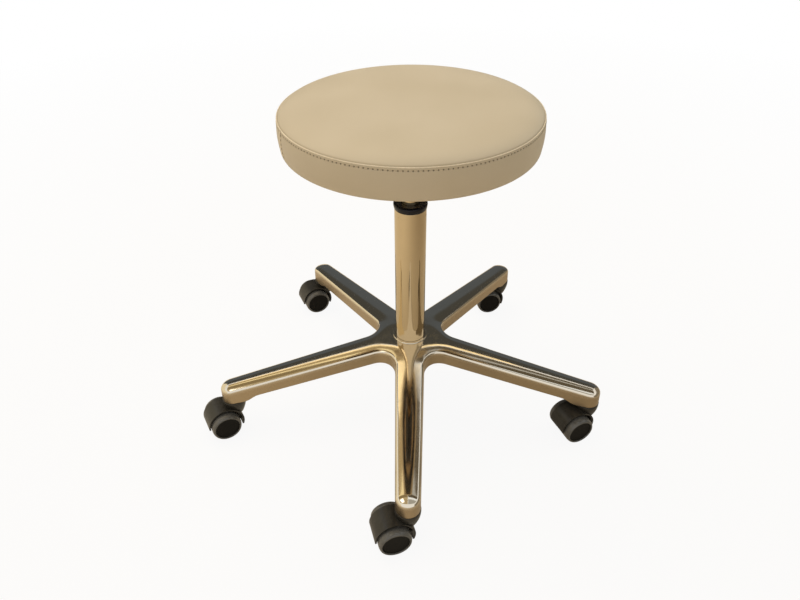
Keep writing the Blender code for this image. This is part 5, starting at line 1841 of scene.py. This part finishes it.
@dataclass(frozen=True)
class Card:
    """A plain card beside the stage that polished surfaces mirror, as a photographer's flag.

    Args:
        name: The card's name.
        place: Its middle.
        aim: The point that it faces.
        width: Its level side.
        height: Its other side.
        colour: What it sends to a mirror.
    """

    name: str
    place: Sequence[float]
    aim: Sequence[float]
    width: float
    height: float
    colour: Colour

    def build(self) -> None:
        """Hangs the card where only mirrored rays see it."""
        across, along = (np.array([-side / 2, side / 2]) for side in (self.width, self.height))
        shell = Shell.grid(across[:, None], along, 0.0, wrap_columns=False)
        turn = np.array((Vector(self.aim) - Vector(self.place)).to_track_quat("Z", "Y").to_matrix())
        shell.points = shell.points @ turn.T + np.asarray(self.place)
        material, sheet = glowing(self.name)
        glow = sheet.value("Emission", {"Color": self.colour, "Strength": 1.0})
        item = stage_piece(self.name, shell.plain_mesh(self.name), material, glow)
        for ray in ("camera", "diffuse", "transmission", "volume_scatter", "shadow"):
            setattr(item, f"visible_{ray}", False)


@dataclass(frozen=True)
class Lamp:
    """A soft square lamp that polished surfaces don't show.

    Args:
        name: The lamp's name.
        place: Where it hangs.
        size: Its side.
        power: In watts.
        colour: Of its light.
        aim: The point that it faces.
    """

    name: str
    place: Sequence[float]
    size: float
    power: float
    colour: Colour
    aim: Sequence[float] = (0.0, 0.0, 0.45)

    def build(self) -> None:
        """Hangs the lamp."""
        data = bpy.data.lights.new(self.name, "AREA")
        data.shape, data.size, data.energy, data.color = "SQUARE", self.size, self.power, self.colour
        item = bpy.data.objects.new(self.name, data)
        item.location = self.place
        item.rotation_euler = (Vector(self.aim) - Vector(self.place)).to_track_quat("-Z", "Y").to_euler()
        item.visible_glossy = False
        bpy.context.scene.collection.objects.link(item)


@dataclass
class Studio:
    """The camera, floor, lamps and the surroundings that polished metal mirrors."""

    focal_pixels: float = 657.07
    pitch: float = math.radians(36.959)
    yaw: float = math.radians(1.537)
    roll: float = math.radians(0.493)
    eye: tuple[float, float, float] = (0.0066, -0.8910, 0.8703)
    sensor: float = 36.0
    ambient: float = 0.50
    floor_half: float = 9.0
    floor_colour: Colour = (0.72, 0.61, 0.46)
    floor_white: float = 0.92
    floor_mirrored: float = 0.45
    floor_left: Colour = (1.0, 0.90, 0.70)
    floor_right: Colour = (0.18, 0.13, 0.07)
    ceiling_side: float = 1.35
    ceiling_width: float = 2.6
    ceiling_height: float = 3.0
    # Each strip of the ceiling: from and to along Y, and the colours of its left and right cards.
    ceiling: tuple[tuple[float, float, Colour, Colour], ...] = (
        (1.25, 1.90, (0.46, 0.34, 0.17), (0.13, 0.105, 0.07)),
        (0.95, 1.25, (1.15, 0.95, 0.55), (0.52, 0.51, 0.48)),
        (0.10, 0.95, (0.30, 0.22, 0.11), (0.12, 0.095, 0.06)),
        (-0.35, 0.10, (0.58, 0.46, 0.27), (1.05, 1.10, 1.15)),
        (-1.50, -0.35, (0.50, 0.40, 0.24), (0.44, 0.43, 0.40)),
    )
    behind: tuple[Card, ...] = (
        Card("back_flag", (0.0, 2.4, 2.25), (0.0, 0.0, 2.25), 6.4, 1.6, (0.070, 0.068, 0.060)),
        Card("cool_flag", (0.0, 2.4, 0.75), (0.0, 0.0, 0.75), 6.4, 1.4, (0.10, 0.112, 0.125)),
        Card("strip", (-0.2, 1.75, 2.55), (0.0, 0.0, 0.1), 2.6, 0.26, (1.5, 1.20, 0.70)),
    )
    beside: tuple[Card, ...] = (
        Card("right_flag", (2.7, -0.2, 1.0), (0.0, -0.2, 1.0), 5.0, 2.0, (0.24, 0.205, 0.15)),
        Card("left_flag", (-2.7, -0.2, 1.0), (0.0, -0.2, 1.0), 5.0, 2.0, (0.95, 0.84, 0.60)),
        Card("window", (-1.0, -0.5, 2.2), (0.0, 0.0, 0.1), 0.75, 0.55, (2.4, 2.25, 1.95)),
    )
    lamps: tuple[Lamp, ...] = (
        Lamp("key", (-0.7, 0.55, 2.3), 2.0, 34.0, (1.0, 0.94, 0.83)),
        Lamp("front_fill", (-0.9, -1.9, 0.75), 1.6, 6.5, (1.0, 0.97, 0.92)),
        Lamp("cool_side", (1.6, 0.7, 1.1), 1.2, 8.0, (0.80, 0.91, 1.0)),
    )

    def camera(self) -> None:
        """Sets the camera at the photograph's viewing angle."""
        data = bpy.data.cameras.new("camera")
        data.sensor_width = self.sensor
        data.lens = self.focal_pixels * self.sensor / IMAGE_WIDTH
        data.clip_start = 0.01
        right = Vector((math.cos(self.yaw), math.sin(self.yaw), 0.0))
        level = Vector((-math.sin(self.yaw), math.cos(self.yaw), 0.0))
        ahead = level * math.cos(self.pitch) + Vector((0.0, 0.0, -math.sin(self.pitch)))
        down = ahead.cross(right)
        across = right * math.cos(self.roll) + down * math.sin(self.roll)
        below = down * math.cos(self.roll) - right * math.sin(self.roll)
        item = bpy.data.objects.new("camera", data)
        item.matrix_world = (
            Matrix.Translation(self.eye) @ Matrix((across, -below, -ahead)).transposed().to_4x4()
        )
        bpy.context.scene.collection.objects.link(item)
        bpy.context.scene.camera = item

    def white_share(self, sheet: Sheet, to_camera: Value | float, to_mirror: float) -> Value:
        """How white the background is to the rays that see it.

        Args:
            sheet: Where the nodes go.
            to_camera: The share for rays from the camera, one number or one that varies over the surface.
            to_mirror: The share for rays that a glossy or clear surface sends on.

        Returns:
            The share, which is 0 for the rays that light the object.
        """
        path = sheet.node("LightPath").outputs
        camera, glossy, clear = (
            Value(sheet, path[f"Is {ray} Ray"]) for ray in ("Camera", "Glossy", "Transmission")
        )
        return sheet.math("MAXIMUM", camera * to_camera, sheet.math("MAXIMUM", glossy, clear) * to_mirror)

    def floor(self) -> None:
        """A plain pale floor that keeps a light shadow, white to the camera and lighter on the left to a mirror."""
        side = np.linspace(-self.floor_half, self.floor_half, 3)
        mesh = Shell.grid(side[:, None], side, 0.0, wrap_columns=False).plain_mesh("floor")
        material, sheet = glowing("pale_floor")
        point = sheet.point()
        tone = sheet.blend(sheet.ramp(sheet.axes(point)[0], -0.45, 0.60), self.floor_left, self.floor_right)
        tone = sheet.blend(sheet.value("LightPath", output="Is Camera Ray"), tone, WHITE)
        far = sheet.value("VectorMath", {0: point}, "Value", operation="LENGTH")
        share = self.white_share(sheet, sheet.ramp(far, 0.7, 2.6, self.floor_white, 1.0), self.floor_mirrored)
        matt = sheet.value("BsdfDiffuse", {"Color": self.floor_colour})
        glow = sheet.value("Emission", {"Color": tone, "Strength": 1.0})
        stage_piece("floor", mesh, material, sheet.value("MixShader", {0: share, 1: matt, 2: glow}))

    def world(self) -> None:
        """Soft even light from all round, and white behind the object."""
        world = bpy.data.worlds.new("studio")
        world.use_nodes = True
        sheet = Sheet(world.node_tree)
        strength = sheet.ramp(self.white_share(sheet, 1.0, 1.0), 0.0, 1.0, self.ambient, 1.0)
        sheet.feed(world.node_tree.nodes["Background"], {"Color": WHITE, "Strength": strength})
        bpy.context.scene.world = world

    def overhead(self) -> list[Card]:
        """The ceiling's cards, a left and a right one for each strip."""
        made = []
        for number, (near, far, *colours) in enumerate(self.ceiling):
            for side, way, colour in zip(("left", "right"), (-1, 1), colours):
                x, y = way * self.ceiling_side, (near + far) / 2
                made.append(Card(f"ceiling_{side}_{number}", (x, y, self.ceiling_height), (x, y, 0.0),
                                 self.ceiling_width, far - near, colour))
        return made

    def build(self) -> None:
        """Sets up the whole stage."""
        self.camera()
        self.floor()
        self.world()
        for item in (*self.behind, *self.overhead(), *self.beside, *self.lamps):
            item.build()
        bpy.context.scene.view_settings.view_transform = "Standard"


CASTER_HEADINGS = (196.9, 203.4, 192.3, 205.7, 210.0)


def main() -> None:
    """Builds and dresses the stool and sets the stage."""
    logging.basicConfig(level=logging.INFO, format="%(name)s: %(message)s")
    seat, base = SewnSeat(), StarBase()
    finishes = make_finishes(seat)
    for part in (seat, SeatMount(), GasLift(), base):
        part.build(finishes)
    housing = None
    for number, (angle, heading) in enumerate(zip(base.headings, CASTER_HEADINGS), 1):
        place = (base.stem_circle * math.cos(angle), base.stem_circle * math.sin(angle))
        caster = HoodedCaster(number, math.radians(heading), place)
        housing = housing or caster.housing()
        caster.build(finishes, housing)
    Workings().dress(finishes)
    Studio().build()


if __name__ == "__main__":
    main()
